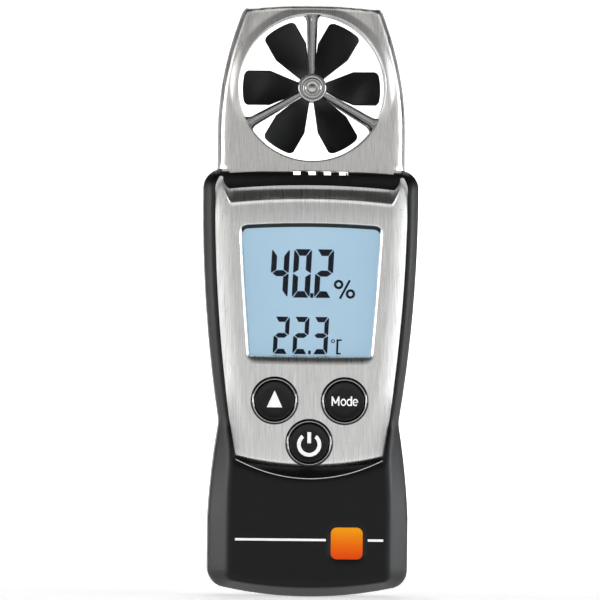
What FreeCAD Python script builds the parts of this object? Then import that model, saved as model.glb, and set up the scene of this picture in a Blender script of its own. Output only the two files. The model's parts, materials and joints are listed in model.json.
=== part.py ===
"""Pocket vane anemometer: a slim hand-held air-speed, temperature and humidity meter.

Frame: +Z up along the long axis, the display faces -Y, +X to the right of a reader.
The origin is the bottom centre of the whole meter's box, in millimetres.

Each separate piece of the meter is one object whose Label is the name of its STEP file.
Pieces that are padded along the depth are sketched on planes parallel to XZ, where a
sketch's own normal points at the reader (-Y); "front" below means towards -Y.
"""
import FreeCAD, Part

import math
import os

import Sketcher
from FreeCAD import Vector

# Driving dimensions in millimetres (angles in degrees), grouped as they are on the sheet.
DIMENSIONS = {
    # case outline, seen from the front (half widths and heights above the bottom)
    "foot_half": 17.9,
    "foot_height": 1.9,
    "base_half": 21.4,
    "base_low": 5.6,
    "base_high": 17.0,
    "waist_half": 19.35,
    "waist_height": 37.6,
    "waist_blend": 1.3,
    "shoulder_half": 23.0,
    "shoulder_low": 84.0,
    "shoulder_high": 87.3,
    "horn_half": 20.0,
    "horn_height": 91.4,
    # case depth, measured from the parting plane y = 0
    "case_half_depth": 12.5,
    "front_facet_start": 6.5,
    "rear_facet_start": 8.0,
    "plate_front": 10.6,
    "upper_front": 9.5,
    "plate_flange": 9.3,
    "plate_seat": 9.0,
    "front_inner": 7.6,
    "rear_inner": 9.6,
    "neck_face": 8.6,
    "neck_height": 88.2,
    "neck_side_height": 87.0,
    "collar_height": 91.3,
    "collar_side_height": 90.6,
    "collar_half": 17.6,
    "wall": 1.8,
    # faceplate
    "plate_top_half": 20.7,
    "plate_waist_half": 17.15,
    "plate_foot_half": 15.7,
    "plate_foot_height": 29.3,
    "plate_low": 27.7,
    "crease_low": 25.3,
    "plate_roll": 2.6,
    "plate_gap": 0.08,
    "ear_inner_half": 17.75,
    "ear_outer_half": 18.7,
    "ear_high": 89.9,
    "ear_front": 9.9,
    # plain badge on the base
    "badge_across": 8.2,
    "badge_height": 11.6,
    "badge_half": 3.4,
    "badge_corner": 1.3,
    "badge_depth": 0.5,
    # display
    "view_top_half": 14.6,
    "view_low_half": 12.8,
    "view_top": 79.2,
    "view_low": 50.9,
    "window_half": 15.6,
    "window_low": 49.6,
    "window_high": 80.9,
    "glass_half": 15.0,
    "glass_low": 49.4,
    "glass_high": 79.9,
    # buttons
    "button_pitch": 15.0,
    "upper_button_height": 42.0,
    "power_button_height": 33.0,
    "ring_flange_radius": 5.15,
    "ring_radius": 4.85,
    "ring_bore": 4.35,
    "cap_radius": 4.25,
    "cap_flange_radius": 4.7,
    "ring_proud": 0.35,
    # measuring head and vane
    "head_half": 20.1,
    "head_half_depth": 7.5,
    "head_insert_half": 19.2,
    "head_insert_low": 85.0,
    "head_step": 91.45,
    "head_straight": 98.0,
    "head_tip_half": 15.0,
    "head_tip_height": 125.4,
    "head_top": 127.4,
    "vane_height": 109.1,
    "duct_radius": 15.7,
    "liner_radius": 16.5,
    "blade_tip_radius": 14.8,
    "blade_thickness": 0.5,
    "head_screw_across": 16.4,
    "head_screw_height": 94.6,
    "hub_radius": 2.9,
    "hub_half_length": 3.6,
    "magnet_radius": 1.9,
    "magnet_front": 1.6,
    "spider_hub_radius": 3.05,
    "spider_inner": 4.4,
    "spider_outer": 6.0,
    "spoke_width_at_hub": 1.3,
    "spoke_width_at_rim": 2.1,
    "spoke_flare": 1.1,
    "bearing_radius": 0.95,
    "shaft_radius": 0.7,
    "pivot_radius": 0.3,
    "pivot_clearance": 0.04,
    # sensor slot under the vane
    "slot_pitch": 3.28,
    "slot_width": 2.0,
    "slot_first": -2.95,
    "slot_low": 90.35,
    "slot_high": 91.1,
    "slot_floor": 88.6,
    # batteries and their door
    "cell_radius": 5.25,
    "cell_length": 43.3,
    "cell_pitch": 11.2,
    "cell_depth": 5.4,
    "cell_low": 7.2,
    "bay_half": 11.4,
    "bay_low": 3.6,
    "bay_high": 54.0,
    "door_half": 13.0,
    "door_low": 3.1,
    "door_high": 57.0,
    "door_thickness": 1.5,
    "door_travel": 6.0,
    "contact_metal": 0.35,
    # electronics
    "board_front": 4.2,
    "board_rear": 2.6,
    "board_half": 15.4,
    "board_low": 27.0,
    "board_high": 84.0,
    # case fasteners
    "boss_radius": 2.1,
    "upper_boss_half": 17.1,
    "upper_boss_height": 82.4,
    "lower_boss_half": 15.75,
    "lower_boss_height": 9.5,
}

BUTTONS = ("up", "mode", "power")
BLADES = 6
SPOKES = 3
SLOTS = 4
SMALLEST_CHANGE = 1e-6

doc = FreeCAD.newDocument("vane_anemometer")
sheet = doc.addObject("Spreadsheet::Sheet", "Dims")
for row, (alias, number) in enumerate(DIMENSIONS.items(), start=1):
    sheet.set(f"A{row}", alias)
    sheet.set(f"B{row}", str(number))
    sheet.setAlias(f"B{row}", alias)
doc.recompute()

PIECES = []


def size(alias):
    """The number that the sheet holds for one driving dimension."""
    return float(sheet.get(alias))


# ---------------------------------------------------------------- building blocks

def new_body(label):
    body = doc.addObject("PartDesign::Body", label)
    body.Label = label
    PIECES.append(body)
    doc.recompute()
    return body


def origin_plane(body, role):
    return next(item for item in body.Origin.OriginFeatures if item.Role == role)


def new_sketch(body, name, role="XZ_Plane", offset=None):
    """A sketch on one of the body's origin planes, moved along the plane's normal."""
    sketch = body.newObject("Sketcher::SketchObject", f"{body.Name}_{name}")
    sketch.AttachmentSupport = [(origin_plane(body, role), "")]
    sketch.MapMode = "FlatFace"
    if offset is not None:
        sketch.setExpression(".AttachmentOffset.Base.z", offset)
    return sketch


def bound_constraint(sketch, kind, arguments, expression):
    index = sketch.addConstraint(Sketcher.Constraint(kind, *arguments, 1.0))
    sketch.setExpression(f"Constraints[{index}]", expression)


def draw_circle(sketch, across, up, radius):
    """A circle whose centre and radius are expressions."""
    edge = sketch.addGeometry(Part.Circle(Vector(1, 1, 0), Vector(0, 0, 1), 1))
    bound_constraint(sketch, "Radius", (edge,), radius)
    bound_constraint(sketch, "DistanceX", (-1, 1, edge, 3), across)
    bound_constraint(sketch, "DistanceY", (-1, 1, edge, 3), up)


def draw_rectangle(sketch, left, right, low, high):
    """An upright rectangle whose four sides are expressions."""
    corners = [Vector(0, 0, 0), Vector(1, 0, 0), Vector(1, 1, 0), Vector(0, 1, 0)]
    edges = []
    for index, corner in enumerate(corners):
        following = corners[(index + 1) % 4]
        edges.append(sketch.addGeometry(Part.LineSegment(corner, following)))
    for index, edge in enumerate(edges):
        following = edges[(index + 1) % 4]
        sketch.addConstraint(Sketcher.Constraint("Coincident", edge, 2, following, 1))
        direction = "Horizontal" if index % 2 == 0 else "Vertical"
        sketch.addConstraint(Sketcher.Constraint(direction, edge))
    bound_constraint(sketch, "DistanceX", (-1, 1, edges[0], 1), left)
    bound_constraint(sketch, "DistanceY", (-1, 1, edges[0], 1), low)
    bound_constraint(sketch, "DistanceX", (-1, 1, edges[2], 1), right)
    bound_constraint(sketch, "DistanceY", (-1, 1, edges[2], 1), high)


def edge_between(start, end, sagitta=0.0):
    """A line, or an arc that bulges to the right of its direction by the sagitta."""
    first = Vector(start[0], start[1], 0)
    last = Vector(end[0], end[1], 0)
    if abs(sagitta) < SMALLEST_CHANGE:
        return Part.LineSegment(first, last)
    chord = last - first
    sideways = Vector(chord.y, -chord.x, 0).normalize()
    middle = (first + last) * 0.5 + sideways * sagitta
    return Part.Arc(first, middle, last)


def draw_loop(sketch, corners, sagittas):
    """A closed loop through the corners; sagittas[i] bends the edge that starts at corner i."""
    for index, corner in enumerate(corners):
        following = corners[(index + 1) % len(corners)]
        edge = sketch.addGeometry(edge_between(corner, following, sagittas[index]))
        sketch.addConstraint(Sketcher.Constraint("Block", edge))


def symmetric_loop(right_corners, right_sagittas, low_sagitta, high_sagitta):
    """Corners and sagittas of a loop that is mirrored about x = 0, counter-clockwise."""
    left_corners = [(-across, up) for across, up in reversed(right_corners)]
    corners = right_corners + left_corners
    sagittas = right_sagittas + [high_sagitta] + list(reversed(right_sagittas)) + [low_sagitta]
    return corners, sagittas


def extrude(body, sketch, length, towards, cut=False, both=False):
    """Pad or pocket a sketch that lies parallel to XZ, towards the front or the rear."""
    kind = "Pocket" if cut else "Pad"
    feature = body.newObject(f"PartDesign::{kind}", f"{sketch.Name}_{kind.lower()}")
    feature.Profile = sketch
    feature.setExpression("Length", length)
    if both:
        feature.SideType = "Symmetric"
    else:
        feature.Reversed = (towards == "front") == cut
    finish_feature(body, feature, cut)
    return feature


def loft(body, first, second, cut=False):
    kind = "SubtractiveLoft" if cut else "AdditiveLoft"
    feature = body.newObject(f"PartDesign::{kind}", f"{first.Name}_loft")
    feature.Profile = first
    feature.Sections = [second]
    feature.Ruled = True
    finish_feature(body, feature, cut)
    return feature


def finish_feature(body, feature, cut):
    """Recompute, and stop if a cut removed nothing or the feature failed."""
    before = feature.BaseFeature.Shape.Volume if feature.BaseFeature else 0.0
    doc.recompute()
    if feature.Shape.isNull() or "Invalid" in feature.State:
        raise RuntimeError(f"{feature.Name} has no shape")
    change = feature.Shape.Volume - before
    if abs(change) < SMALLEST_CHANGE or (change > 0) == cut:
        raise RuntimeError(f"{feature.Name} changed the volume by {change:.4f}")


def pocket_circle(body, name, offset, across, up, radius, length, towards):
    sketch = new_sketch(body, name, offset=offset)
    draw_circle(sketch, across, up, radius)
    return extrude(body, sketch, length, towards, cut=True)


def pad_circle(body, name, offset, across, up, radius, length, towards):
    sketch = new_sketch(body, name, offset=offset)
    draw_circle(sketch, across, up, radius)
    return extrude(body, sketch, length, towards)


def pocket_box(body, name, offset, sides, length, towards):
    sketch = new_sketch(body, name, offset=offset)
    draw_rectangle(sketch, *sides)
    return extrude(body, sketch, length, towards, cut=True)


def pad_box(body, name, offset, sides, length, towards):
    sketch = new_sketch(body, name, offset=offset)
    draw_rectangle(sketch, *sides)
    return extrude(body, sketch, length, towards)


def part_feature(label, shape):
    """A piece whose shape is worked out with Part's own functions."""
    feature = doc.addObject("Part::Feature", label)
    feature.Label = label
    feature.Shape = shape
    PIECES.append(feature)
    return feature


def box_between(low, high):
    """A solid box from its lowest to its highest corner."""
    low = Vector(*low)
    span = Vector(*high) - low
    return Part.makeBox(span.x, span.y, span.z, low)


def rod_along_depth(radius, front, rear, across=0.0, up=0.0):
    """A round solid along Y between two depths."""
    return Part.makeCylinder(radius, rear - front, Vector(across, front, up), Vector(0, 1, 0))


# ---------------------------------------------------------------- outlines

def case_outline():
    """The case's full outline at the parting plane."""
    blend = size("waist_blend")
    right = [
        (size("foot_half"), size("foot_height")),
        (size("base_half") - 0.05, size("base_low")),
        (size("base_half"), size("base_high")),
        (size("waist_half"), size("waist_height") - blend),
        (size("waist_half") + 0.1, size("waist_height") + blend),
        (size("shoulder_half"), size("shoulder_low")),
        (size("shoulder_half"), size("shoulder_high")),
        (size("horn_half"), size("horn_height")),
    ]
    bends = [0.92, 0.0, 0.28, -0.12, 0.85, 0.0, 0.9]
    return symmetric_loop(right, bends, low_sagitta=size("foot_height"), high_sagitta=0.1)


def front_face_outline():
    """The smaller outline that the front facets run in to, at the very front."""
    upper_inset = 3.2
    base_inset = 4.0
    right = [
        (size("foot_half") - 1.6, size("foot_height") + 1.7),
        (size("base_half") - base_inset, size("base_low") - 0.2),
        (size("base_half") - base_inset, size("base_high")),
        (size("waist_half") - upper_inset, size("waist_height") - size("waist_blend")),
        (size("waist_half") - upper_inset + 0.1, size("waist_height") + size("waist_blend")),
        (size("shoulder_half") - upper_inset, size("shoulder_low")),
        (size("shoulder_half") - upper_inset, size("shoulder_high") - 0.6),
        (size("horn_half") - 2.0, size("horn_height") - 2.4),
    ]
    bends = [0.35, 0.0, 0.4, -0.1, 0.8, 0.0, 0.5]
    return symmetric_loop(right, bends, low_sagitta=1.4, high_sagitta=0.1)


def rear_face_outline():
    """The outline of the flat rear face."""
    inset = 2.8
    right = [
        (size("foot_half") - 1.5, size("foot_height") + 1.6),
        (size("base_half") - inset, size("base_low") - 0.1),
        (size("base_half") - inset, size("base_high")),
        (size("waist_half") - inset, size("waist_height") - size("waist_blend")),
        (size("waist_half") - inset + 0.1, size("waist_height") + size("waist_blend")),
        (size("shoulder_half") - inset, size("shoulder_low")),
        (size("shoulder_half") - inset, size("shoulder_high") - 0.5),
        (size("horn_half") - 1.8, size("horn_height") - 2.2),
    ]
    bends = [0.6, 0.0, 0.28, -0.1, 0.85, 0.0, 0.7]
    return symmetric_loop(right, bends, low_sagitta=1.5, high_sagitta=0.1)


def cavity_outline(inset, top):
    """The case's inside, up to a flat top at the given height."""
    right = [
        (size("foot_half") - inset + 0.4, size("foot_height") + inset),
        (size("base_half") - inset, size("base_low") + 1.4),
        (size("base_half") - inset, size("base_high")),
        (size("waist_half") - inset, size("waist_height")),
        (size("shoulder_half") - inset, top),
    ]
    bends = [0.5, 0.0, 0.25, 0.55]
    return symmetric_loop(right, bends, low_sagitta=0.6, high_sagitta=0.0)


def plate_outline(gap):
    """The faceplate's edge, or with a gap of 0 the recess that it lies in."""
    foot = size("plate_foot_height")
    right = [
        (size("plate_foot_half") - gap, foot + gap),
        (size("plate_waist_half") - gap, size("waist_height")),
        (size("plate_top_half") - gap, size("shoulder_low")),
        (size("plate_top_half") - gap, size("neck_side_height") - gap),
    ]
    bends = [0.05, 0.75, 0.0]
    rise = size("neck_height") - size("neck_side_height")
    return symmetric_loop(
        right, bends,
        low_sagitta=foot - size("plate_low"),
        high_sagitta=rise,
    )


def plate_crown():
    """The faceplate's flat front, inside the rolled sides and the bevelled top."""
    roll = size("plate_roll")
    foot = size("plate_foot_height")
    right = [
        (size("plate_foot_half") - roll * 0.7, foot - 0.25),
        (size("plate_waist_half") - roll, size("waist_height")),
        (size("plate_top_half") - roll, size("shoulder_low") - 1.0),
        (size("plate_top_half") - roll, size("neck_side_height") - roll),
    ]
    bends = [0.05, 0.75, 0.0]
    return symmetric_loop(right, bends, low_sagitta=1.25, high_sagitta=1.0)


def ear_outline(sign):
    """The tongue that the faceplate's side strip runs up into beside the neck."""
    inner = size("ear_inner_half")
    side = size("plate_top_half") - size("plate_gap")
    low = size("neck_side_height") - 1.0
    corners = [(inner, low), (side, low), (size("ear_outer_half"), size("ear_high")),
               (inner, size("ear_high"))]
    sagittas = [0.0, 0.45, 0.0, 0.0]
    if sign < 0:
        corners = [(-across, up) for across, up in reversed(corners)]
    return corners, sagittas


def view_outline(margin, low_margin):
    """The display opening, widened by a margin at the sides and top and another below."""
    right = [
        (size("view_low_half") - 1.4 + margin, size("view_low") - low_margin),
        (size("view_low_half") + margin, size("view_low") + 1.4 - low_margin * 0.5),
        (size("view_top_half") + margin, size("view_top") - 1.6 + margin * 0.8),
        (size("view_top_half") - 1.2 + margin, size("view_top") - 0.5 + margin),
    ]
    bends = [0.45, 0.1, 0.35]
    return symmetric_loop(right, bends, low_sagitta=0.1, high_sagitta=0.45)


def head_outline(inset, top_inset):
    """The measuring head above the case, with its sides drawn in by an inset."""
    right = [
        (size("head_half") - inset, size("head_step")),
        (size("head_half") - inset, size("head_straight")),
        (size("head_tip_half") - inset * 0.8, size("head_tip_height") - top_inset),
        (size("head_tip_half") - 0.9 - inset * 0.8, size("head_tip_height") + 0.95 - top_inset),
    ]
    bends = [0.0, 1.38 - inset * 0.03, 0.25]
    rise = size("head_top") - size("head_tip_height") - 0.95
    return symmetric_loop(right, bends, low_sagitta=0.0, high_sagitta=rise)


def outline_sketch(body, name, outline, offset=None):
    sketch = new_sketch(body, name, offset=offset)
    draw_loop(sketch, *outline)
    return sketch


# ---------------------------------------------------------------- case

def case_bosses(body, pad_depth, towards):
    """Four screw bosses that stand from the case wall to the parting plane."""
    places = (("upper_boss_half", "upper_boss_height"), ("lower_boss_half", "lower_boss_height"))
    for row, (half, height) in enumerate(places):
        for side, sign in (("left", "-"), ("right", "")):
            pad_circle(body, f"boss_{side}_{row}", None, f"{sign}Dims.{half}",
                       f"Dims.{height}", "Dims.boss_radius", pad_depth, towards)


def neck_cuts(body, towards):
    """The step that a protective cap sits on, and the opening that the head drops into."""
    side = size("plate_top_half")
    low = size("neck_side_height")
    rise = size("neck_height") - low
    above = size("horn_height") + 8.0
    seat = new_sketch(body, "neck_seat", offset=neck_offset(towards, "Dims.neck_face"))
    draw_loop(seat, [(-side, low), (-side, above), (side, above), (side, low)],
              [0.0, 0.0, 0.0, rise])
    extrude(body, seat, "Dims.case_half_depth", towards, cut=True)

    half = size("collar_half")
    low = size("collar_side_height")
    rise = size("collar_height") - low
    collar = new_sketch(body, "collar_top")
    draw_loop(collar, [(-half, low), (-half, above), (half, above), (half, low)],
              [0.0, 0.0, 0.0, rise])
    extrude(body, collar, "Dims.case_half_depth", towards, cut=True)

    reach = "Dims.head_insert_half + 0.1"
    pocket_box(body, "head_passage", None,
               (f"-({reach})", reach, "Dims.head_insert_low - 0.1", "Dims.horn_height + 5"),
               "Dims.front_inner", towards)
    pocket_box(body, "wire_gate", None,
               ("-13.8", "3.8", "Dims.head_insert_low - 2", "Dims.head_insert_low"), "3.2", towards)


def neck_offset(towards, expression):
    """A depth from the parting plane as an offset along the sketch normal."""
    return expression if towards == "front" else f"-({expression})"


def slot_notches(body, towards):
    """Four notches in the collar where air reaches the sensors under the vane."""
    sketch = new_sketch(body, "slots")
    for index in range(SLOTS):
        middle = f"(Dims.slot_first + {index} * Dims.slot_pitch)"
        draw_rectangle(sketch, f"{middle} - Dims.slot_width / 2", f"{middle} + Dims.slot_width / 2",
                       "Dims.slot_low", "Dims.horn_height")
    extrude(body, sketch, "Dims.neck_face + 1", towards, cut=True)


def front_shell():
    body = new_body("front_shell")
    blank = outline_sketch(body, "blank", case_outline())
    extrude(body, blank, "Dims.front_facet_start", "front")
    side = outline_sketch(body, "facet_side", case_outline(), "Dims.front_facet_start")
    face = outline_sketch(body, "facet_face", front_face_outline(), "Dims.case_half_depth")
    loft(body, side, face)

    # The raised base falls back to the faceplate's level over the waist.
    profile = new_sketch(body, "front_step", role="YZ_Plane")
    upper = -size("upper_front")
    base = -size("case_half_depth")
    beyond = base - 5.0
    above = size("horn_height") + 8.0
    step_low = size("plate_foot_height") - 2.0
    hollow = -0.7
    draw_loop(profile,
              [(base, step_low), (upper, size("waist_height") + 1.0), (upper, above),
               (beyond, above), (beyond, step_low)],
              [hollow, 0.0, 0.0, 0.0, 0.0])
    extrude(body, profile, "Dims.shoulder_half * 3", "front", cut=True, both=True)

    cavity = outline_sketch(body, "cavity", cavity_outline(size("wall"), size("head_insert_low") - 1.0))
    extrude(body, cavity, "Dims.front_facet_start", "front", cut=True)
    deep = outline_sketch(body, "deep_cavity",
                          cavity_outline(size("wall") + 1.9, size("head_insert_low") - 1.0),
                          "Dims.front_facet_start - 0.1")
    extrude(body, deep, "Dims.front_inner - Dims.front_facet_start + 0.1", "front", cut=True)
    pocket_box(body, "base_hollow", "Dims.front_inner - 0.1",
               ("-13.5", "13.5", "5.5", "Dims.crease_low - 3.4"),
               "Dims.case_half_depth - Dims.front_inner - 1.6", "front")
    neck_cuts(body, "front")

    recess = outline_sketch(body, "plate_recess", plate_outline(0.0), "Dims.plate_seat")
    extrude(body, recess, "Dims.case_half_depth", "front", cut=True)
    cove_cut(body)
    badge_seat = new_sketch(body, "badge_seat", offset="Dims.case_half_depth - Dims.badge_depth")
    draw_loop(badge_seat, *badge_outline(0.05))
    extrude(body, badge_seat, "3", "front", cut=True)
    slot_notches(body, "front")
    case_bosses(body, "Dims.front_inner + 0.2", "front")
    for index, name in enumerate(BUTTONS):
        across, height = button_place(name)
        pocket_circle(body, f"{name}_hole", None, across, height,
                      "Dims.ring_radius + 0.04", "Dims.case_half_depth", "front")
    pocket_box(body, "window_seat", "Dims.plate_seat - 1.05",
               ("-Dims.window_half", "Dims.window_half", "Dims.window_low", "Dims.window_high"),
               "4", "front")
    pocket_box(body, "display_hole", None,
               ("-(Dims.glass_half - 0.1)", "Dims.glass_half - 0.1",
                "Dims.glass_low + 0.8", "Dims.glass_high - 0.3"),
               "Dims.case_half_depth", "front")
    for side, sign in (("left", "-"), ("right", "")):
        for place, height in (("low", "Dims.board_low + 2"), ("high", "Dims.board_high - 1.6")):
            pad_circle(body, f"post_{side}_{place}", "Dims.board_front", f"{sign}12.6", height,
                       "1.3", "Dims.front_inner - Dims.board_front + 0.2", "front")
            pocket_circle(body, f"post_bore_{side}_{place}", "Dims.board_front", f"{sign}12.6", height,
                          "0.65", "2.6", "front")
    screw_bores(body, "front")
    return body


def cove_cut(body):
    """The scooped step between the faceplate's lower edge and the raised base."""
    foot = size("plate_foot_height")
    waist = size("waist_height") + 6.0
    half = size("plate_foot_half")
    top_half = size("plate_waist_half")
    crease = new_sketch(body, "crease", offset="Dims.case_half_depth + 0.05")
    draw_loop(crease, [(-half, foot), (half, foot), (top_half, waist), (-top_half, waist)],
              [foot - size("crease_low"), 0.0, 0.0, 0.0])
    floor = new_sketch(body, "cove_floor", offset="Dims.plate_front - 0.35")
    draw_loop(floor, [(-half, foot), (half, foot), (top_half, waist), (-top_half, waist)],
              [foot - size("plate_low"), 0.0, 0.0, 0.0])
    loft(body, crease, floor, cut=True)


def screw_bores(body, towards):
    """Pilot holes in the front bosses, or through holes with sunk heads in the rear ones."""
    places = (("upper_boss_half", "upper_boss_height"), ("lower_boss_half", "lower_boss_height"))
    for row, (half, height) in enumerate(places):
        for side, sign in (("left", "-"), ("right", "")):
            across = f"{sign}Dims.{half}"
            up = f"Dims.{height}"
            if towards == "front":
                pocket_circle(body, f"pilot_{side}_{row}", None, across, up, "1.0", "5.2", "front")
            else:
                pocket_circle(body, f"through_{side}_{row}", None, across, up, "1.1",
                              "Dims.case_half_depth", "rear")
                pocket_circle(body, f"sink_{side}_{row}", "-5", across, up, "1.75",
                              "Dims.case_half_depth", "rear")


def button_place(name):
    """The expressions for a button's distance across and its height."""
    places = {
        "up": ("-Dims.button_pitch / 2", "Dims.upper_button_height"),
        "mode": ("Dims.button_pitch / 2", "Dims.upper_button_height"),
        "power": ("0 * Dims.button_pitch", "Dims.power_button_height"),
    }
    return places[name]


def rear_shell():
    body = new_body("rear_shell")
    blank = outline_sketch(body, "blank", case_outline())
    extrude(body, blank, "Dims.rear_facet_start", "rear")
    side = outline_sketch(body, "facet_side", case_outline(), "-Dims.rear_facet_start")
    face = outline_sketch(body, "facet_face", rear_face_outline(), "-Dims.case_half_depth")
    loft(body, side, face)
    cavity = outline_sketch(body, "cavity", cavity_outline(size("wall"), size("head_insert_low") - 1.0))
    extrude(body, cavity, "Dims.rear_facet_start", "rear", cut=True)
    deep = outline_sketch(body, "deep_cavity",
                          cavity_outline(size("wall") + 1.6, size("head_insert_low") - 1.0),
                          "-(Dims.rear_facet_start - 0.1)")
    extrude(body, deep, "Dims.rear_inner - Dims.rear_facet_start + 0.1", "rear", cut=True)
    neck_cuts(body, "rear")
    slot_notches(body, "rear")
    case_bosses(body, "Dims.rear_inner + 0.2", "rear")
    screw_bores(body, "rear")

    # Battery bay: a tub with a floor towards the display side.
    pad_box(body, "bay_tub", "0.9",
            ("-(Dims.bay_half + 1)", "Dims.bay_half + 1", "Dims.bay_low + 0.2", "Dims.bay_high + 1"),
            "Dims.rear_inner + 1.3", "rear")
    pocket_box(body, "bay", "-0.1",
               ("-Dims.bay_half", "Dims.bay_half", "Dims.bay_low + 0.8", "Dims.bay_high"),
               "Dims.case_half_depth + 2", "rear")

    # Recess that the door lies flush in, open at the bottom so that the door slides off.
    door_gap = 0.12
    recess = new_sketch(body, "door_recess", offset="-(Dims.case_half_depth - Dims.door_thickness)")
    draw_rectangle(recess, f"-(Dims.door_half + {door_gap})", f"Dims.door_half + {door_gap}",
                   "-1", f"Dims.door_high + {door_gap}")
    extrude(body, recess, "4", "rear", cut=True)
    tongues = new_sketch(body, "tongue_slots",
                         offset="-(Dims.case_half_depth - Dims.door_thickness)")
    draw_rectangle(tongues, "-(Dims.door_half + 0.9)", "Dims.door_half + 0.9",
                   "40 - Dims.door_travel", "46.2")
    extrude(body, tongues, "0.65", "rear", cut=True)
    return body


def faceplate():
    body = new_body("faceplate")
    edge = outline_sketch(body, "edge", plate_outline(size("plate_gap")), "Dims.plate_seat")
    extrude(body, edge, "Dims.plate_flange - Dims.plate_seat", "front")
    flange = outline_sketch(body, "flange", plate_outline(size("plate_gap")), "Dims.plate_flange")
    crown = outline_sketch(body, "crown", plate_crown(), "Dims.plate_front")
    loft(body, flange, crown)
    for side, sign in (("left", -1), ("right", 1)):
        ear = outline_sketch(body, f"ear_{side}", ear_outline(sign), "Dims.plate_seat")
        extrude(body, ear, "Dims.ear_front - Dims.plate_seat", "front")
    outer = outline_sketch(body, "view_outer", view_outline(1.1, 1.5), "Dims.plate_front + 0.02")
    inner = outline_sketch(body, "view_inner", view_outline(0.0, 0.0), "Dims.plate_seat - 0.02")
    loft(body, outer, inner, cut=True)
    for name in BUTTONS:
        across, height = button_place(name)
        pocket_circle(body, f"{name}_hole", "Dims.plate_seat - 0.5", across, height,
                      "Dims.ring_radius + 0.04", "4", "front")
    return body


def front_badge():
    """A small plain enamel badge let into the raised base."""
    body = new_body("front_badge")
    sketch = new_sketch(body, "plan", offset="Dims.case_half_depth - Dims.badge_depth")
    draw_loop(sketch, *badge_outline(0.0))
    extrude(body, sketch, "Dims.badge_depth", "front")
    return body


def badge_outline(gap):
    """A rounded square beside the printed line, widened by a gap for the seat it lies in."""
    half = size("badge_half") + gap
    corner = size("badge_corner")
    left = size("badge_across") - half
    right = size("badge_across") + half
    low = size("badge_height") - half
    high = size("badge_height") + half
    bulge = corner * (1.0 - math.sqrt(0.5))
    corners = [
        (left + corner, low), (right - corner, low), (right, low + corner), (right, high - corner),
        (right - corner, high), (left + corner, high), (left, high - corner), (left, low + corner),
    ]
    return corners, [0.0, bulge] * 4


# ---------------------------------------------------------------- buttons

def button_pieces(name):
    """One button: its bezel ring, the cap, the switch housing and the switch plunger."""
    across, height = button_place(name)
    ring = new_body(f"{name}_button_ring")
    pad_circle(ring, "tube", "Dims.front_inner", across, height, "Dims.ring_radius",
               "Dims.plate_front - Dims.front_inner + 0.1", "front")
    pad_circle(ring, "flange", "Dims.plate_front + 0.02", across, height, "Dims.ring_flange_radius",
               "Dims.ring_proud", "front")
    pocket_circle(ring, "bore", "Dims.front_inner - 1", across, height, "Dims.ring_bore", "6", "front")

    cap = new_body(f"{name}_button")
    pad_circle(cap, "cap", "Dims.front_inner - 0.5", across, height, "Dims.cap_radius",
               "Dims.plate_front + Dims.ring_proud - Dims.front_inner + 0.4", "front")
    pad_circle(cap, "flange", "Dims.front_inner - 0.7", across, height, "Dims.cap_flange_radius",
               "0.6", "front")

    housing = new_body(f"{name}_switch_housing")
    pad_box(housing, "block", "Dims.board_front",
            (f"{across} - 3", f"{across} + 3", f"{height} - 3", f"{height} + 3"), "1.8", "front")
    pocket_circle(housing, "well", "Dims.board_front + 0.3", across, height, "1.6", "4", "front")

    plunger = new_body(f"{name}_switch_plunger")
    pad_circle(plunger, "stem", "Dims.board_front + 0.8", across, height, "1.5",
               "Dims.front_inner - 0.7 - Dims.board_front - 0.8", "front")


# ---------------------------------------------------------------- display

def display_pieces():
    window = new_body("display_window")
    pad_box(window, "pane", "Dims.plate_seat - 1",
            ("-(Dims.window_half - 0.1)", "Dims.window_half - 0.1",
             "Dims.window_low + 0.1", "Dims.window_high - 0.1"), "0.95", "front")
    panel = new_body("lcd_panel")
    pad_box(panel, "rear_glass", "5.9",
            ("-Dims.glass_half", "Dims.glass_half", "Dims.glass_low", "Dims.glass_high"), "0.8", "front")
    pad_box(panel, "front_glass", "6.7",
            ("-Dims.glass_half", "Dims.glass_half", "Dims.glass_low + 1.4", "Dims.glass_high"),
            "0.8", "front")
    backlight = new_body("lcd_backlight")
    pad_box(backlight, "guide", "4.7",
            ("-Dims.glass_half", "Dims.glass_half", "Dims.glass_low + 1.6", "Dims.glass_high"),
            "1.15", "front")
    strip = new_body("elastomer_strip")
    pad_box(strip, "strip", "Dims.board_front",
            ("-14", "14", "Dims.glass_low", "Dims.glass_low + 1.4"), "5.9 - Dims.board_front", "front")
    holder = new_body("lcd_holder")
    pad_box(holder, "frame", "Dims.board_front",
            ("-(Dims.glass_half + 0.7)", "Dims.glass_half + 0.7",
             "Dims.glass_low - 0.8", "Dims.glass_high + 0.55"), "3.3", "front")
    pocket_box(holder, "nest", "Dims.board_front + 0.45",
               ("-(Dims.glass_half + 0.06)", "Dims.glass_half + 0.06",
                "Dims.glass_low - 0.06", "Dims.glass_high + 0.06"), "6", "front")
    pocket_box(holder, "strip_slot", "Dims.board_front - 0.5",
               ("-14.1", "14.1", "Dims.glass_low - 0.06", "Dims.glass_low + 1.46"), "6", "front")


def main_board():
    body = new_body("main_board")
    pad_box(body, "board", "Dims.board_rear",
            ("-Dims.board_half", "Dims.board_half", "Dims.board_low", "Dims.board_high"),
            "Dims.board_front - Dims.board_rear", "front")
    for side, sign in (("left", "-"), ("right", "")):
        for place, height in (("low", "Dims.board_low + 2"), ("high", "Dims.board_high - 1.6")):
            pocket_circle(body, f"hole_{side}_{place}", "0", f"{sign}12.6", height, "0.8", "8", "front")
        # Shallow bites clear the case bosses beside the board's upper corners.
        pocket_circle(body, f"bite_{side}", "0", f"{sign}Dims.upper_boss_half",
                      "Dims.upper_boss_height", "Dims.boss_radius + 0.3", "8", "front")
    return body


# ---------------------------------------------------------------- fasteners

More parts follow.
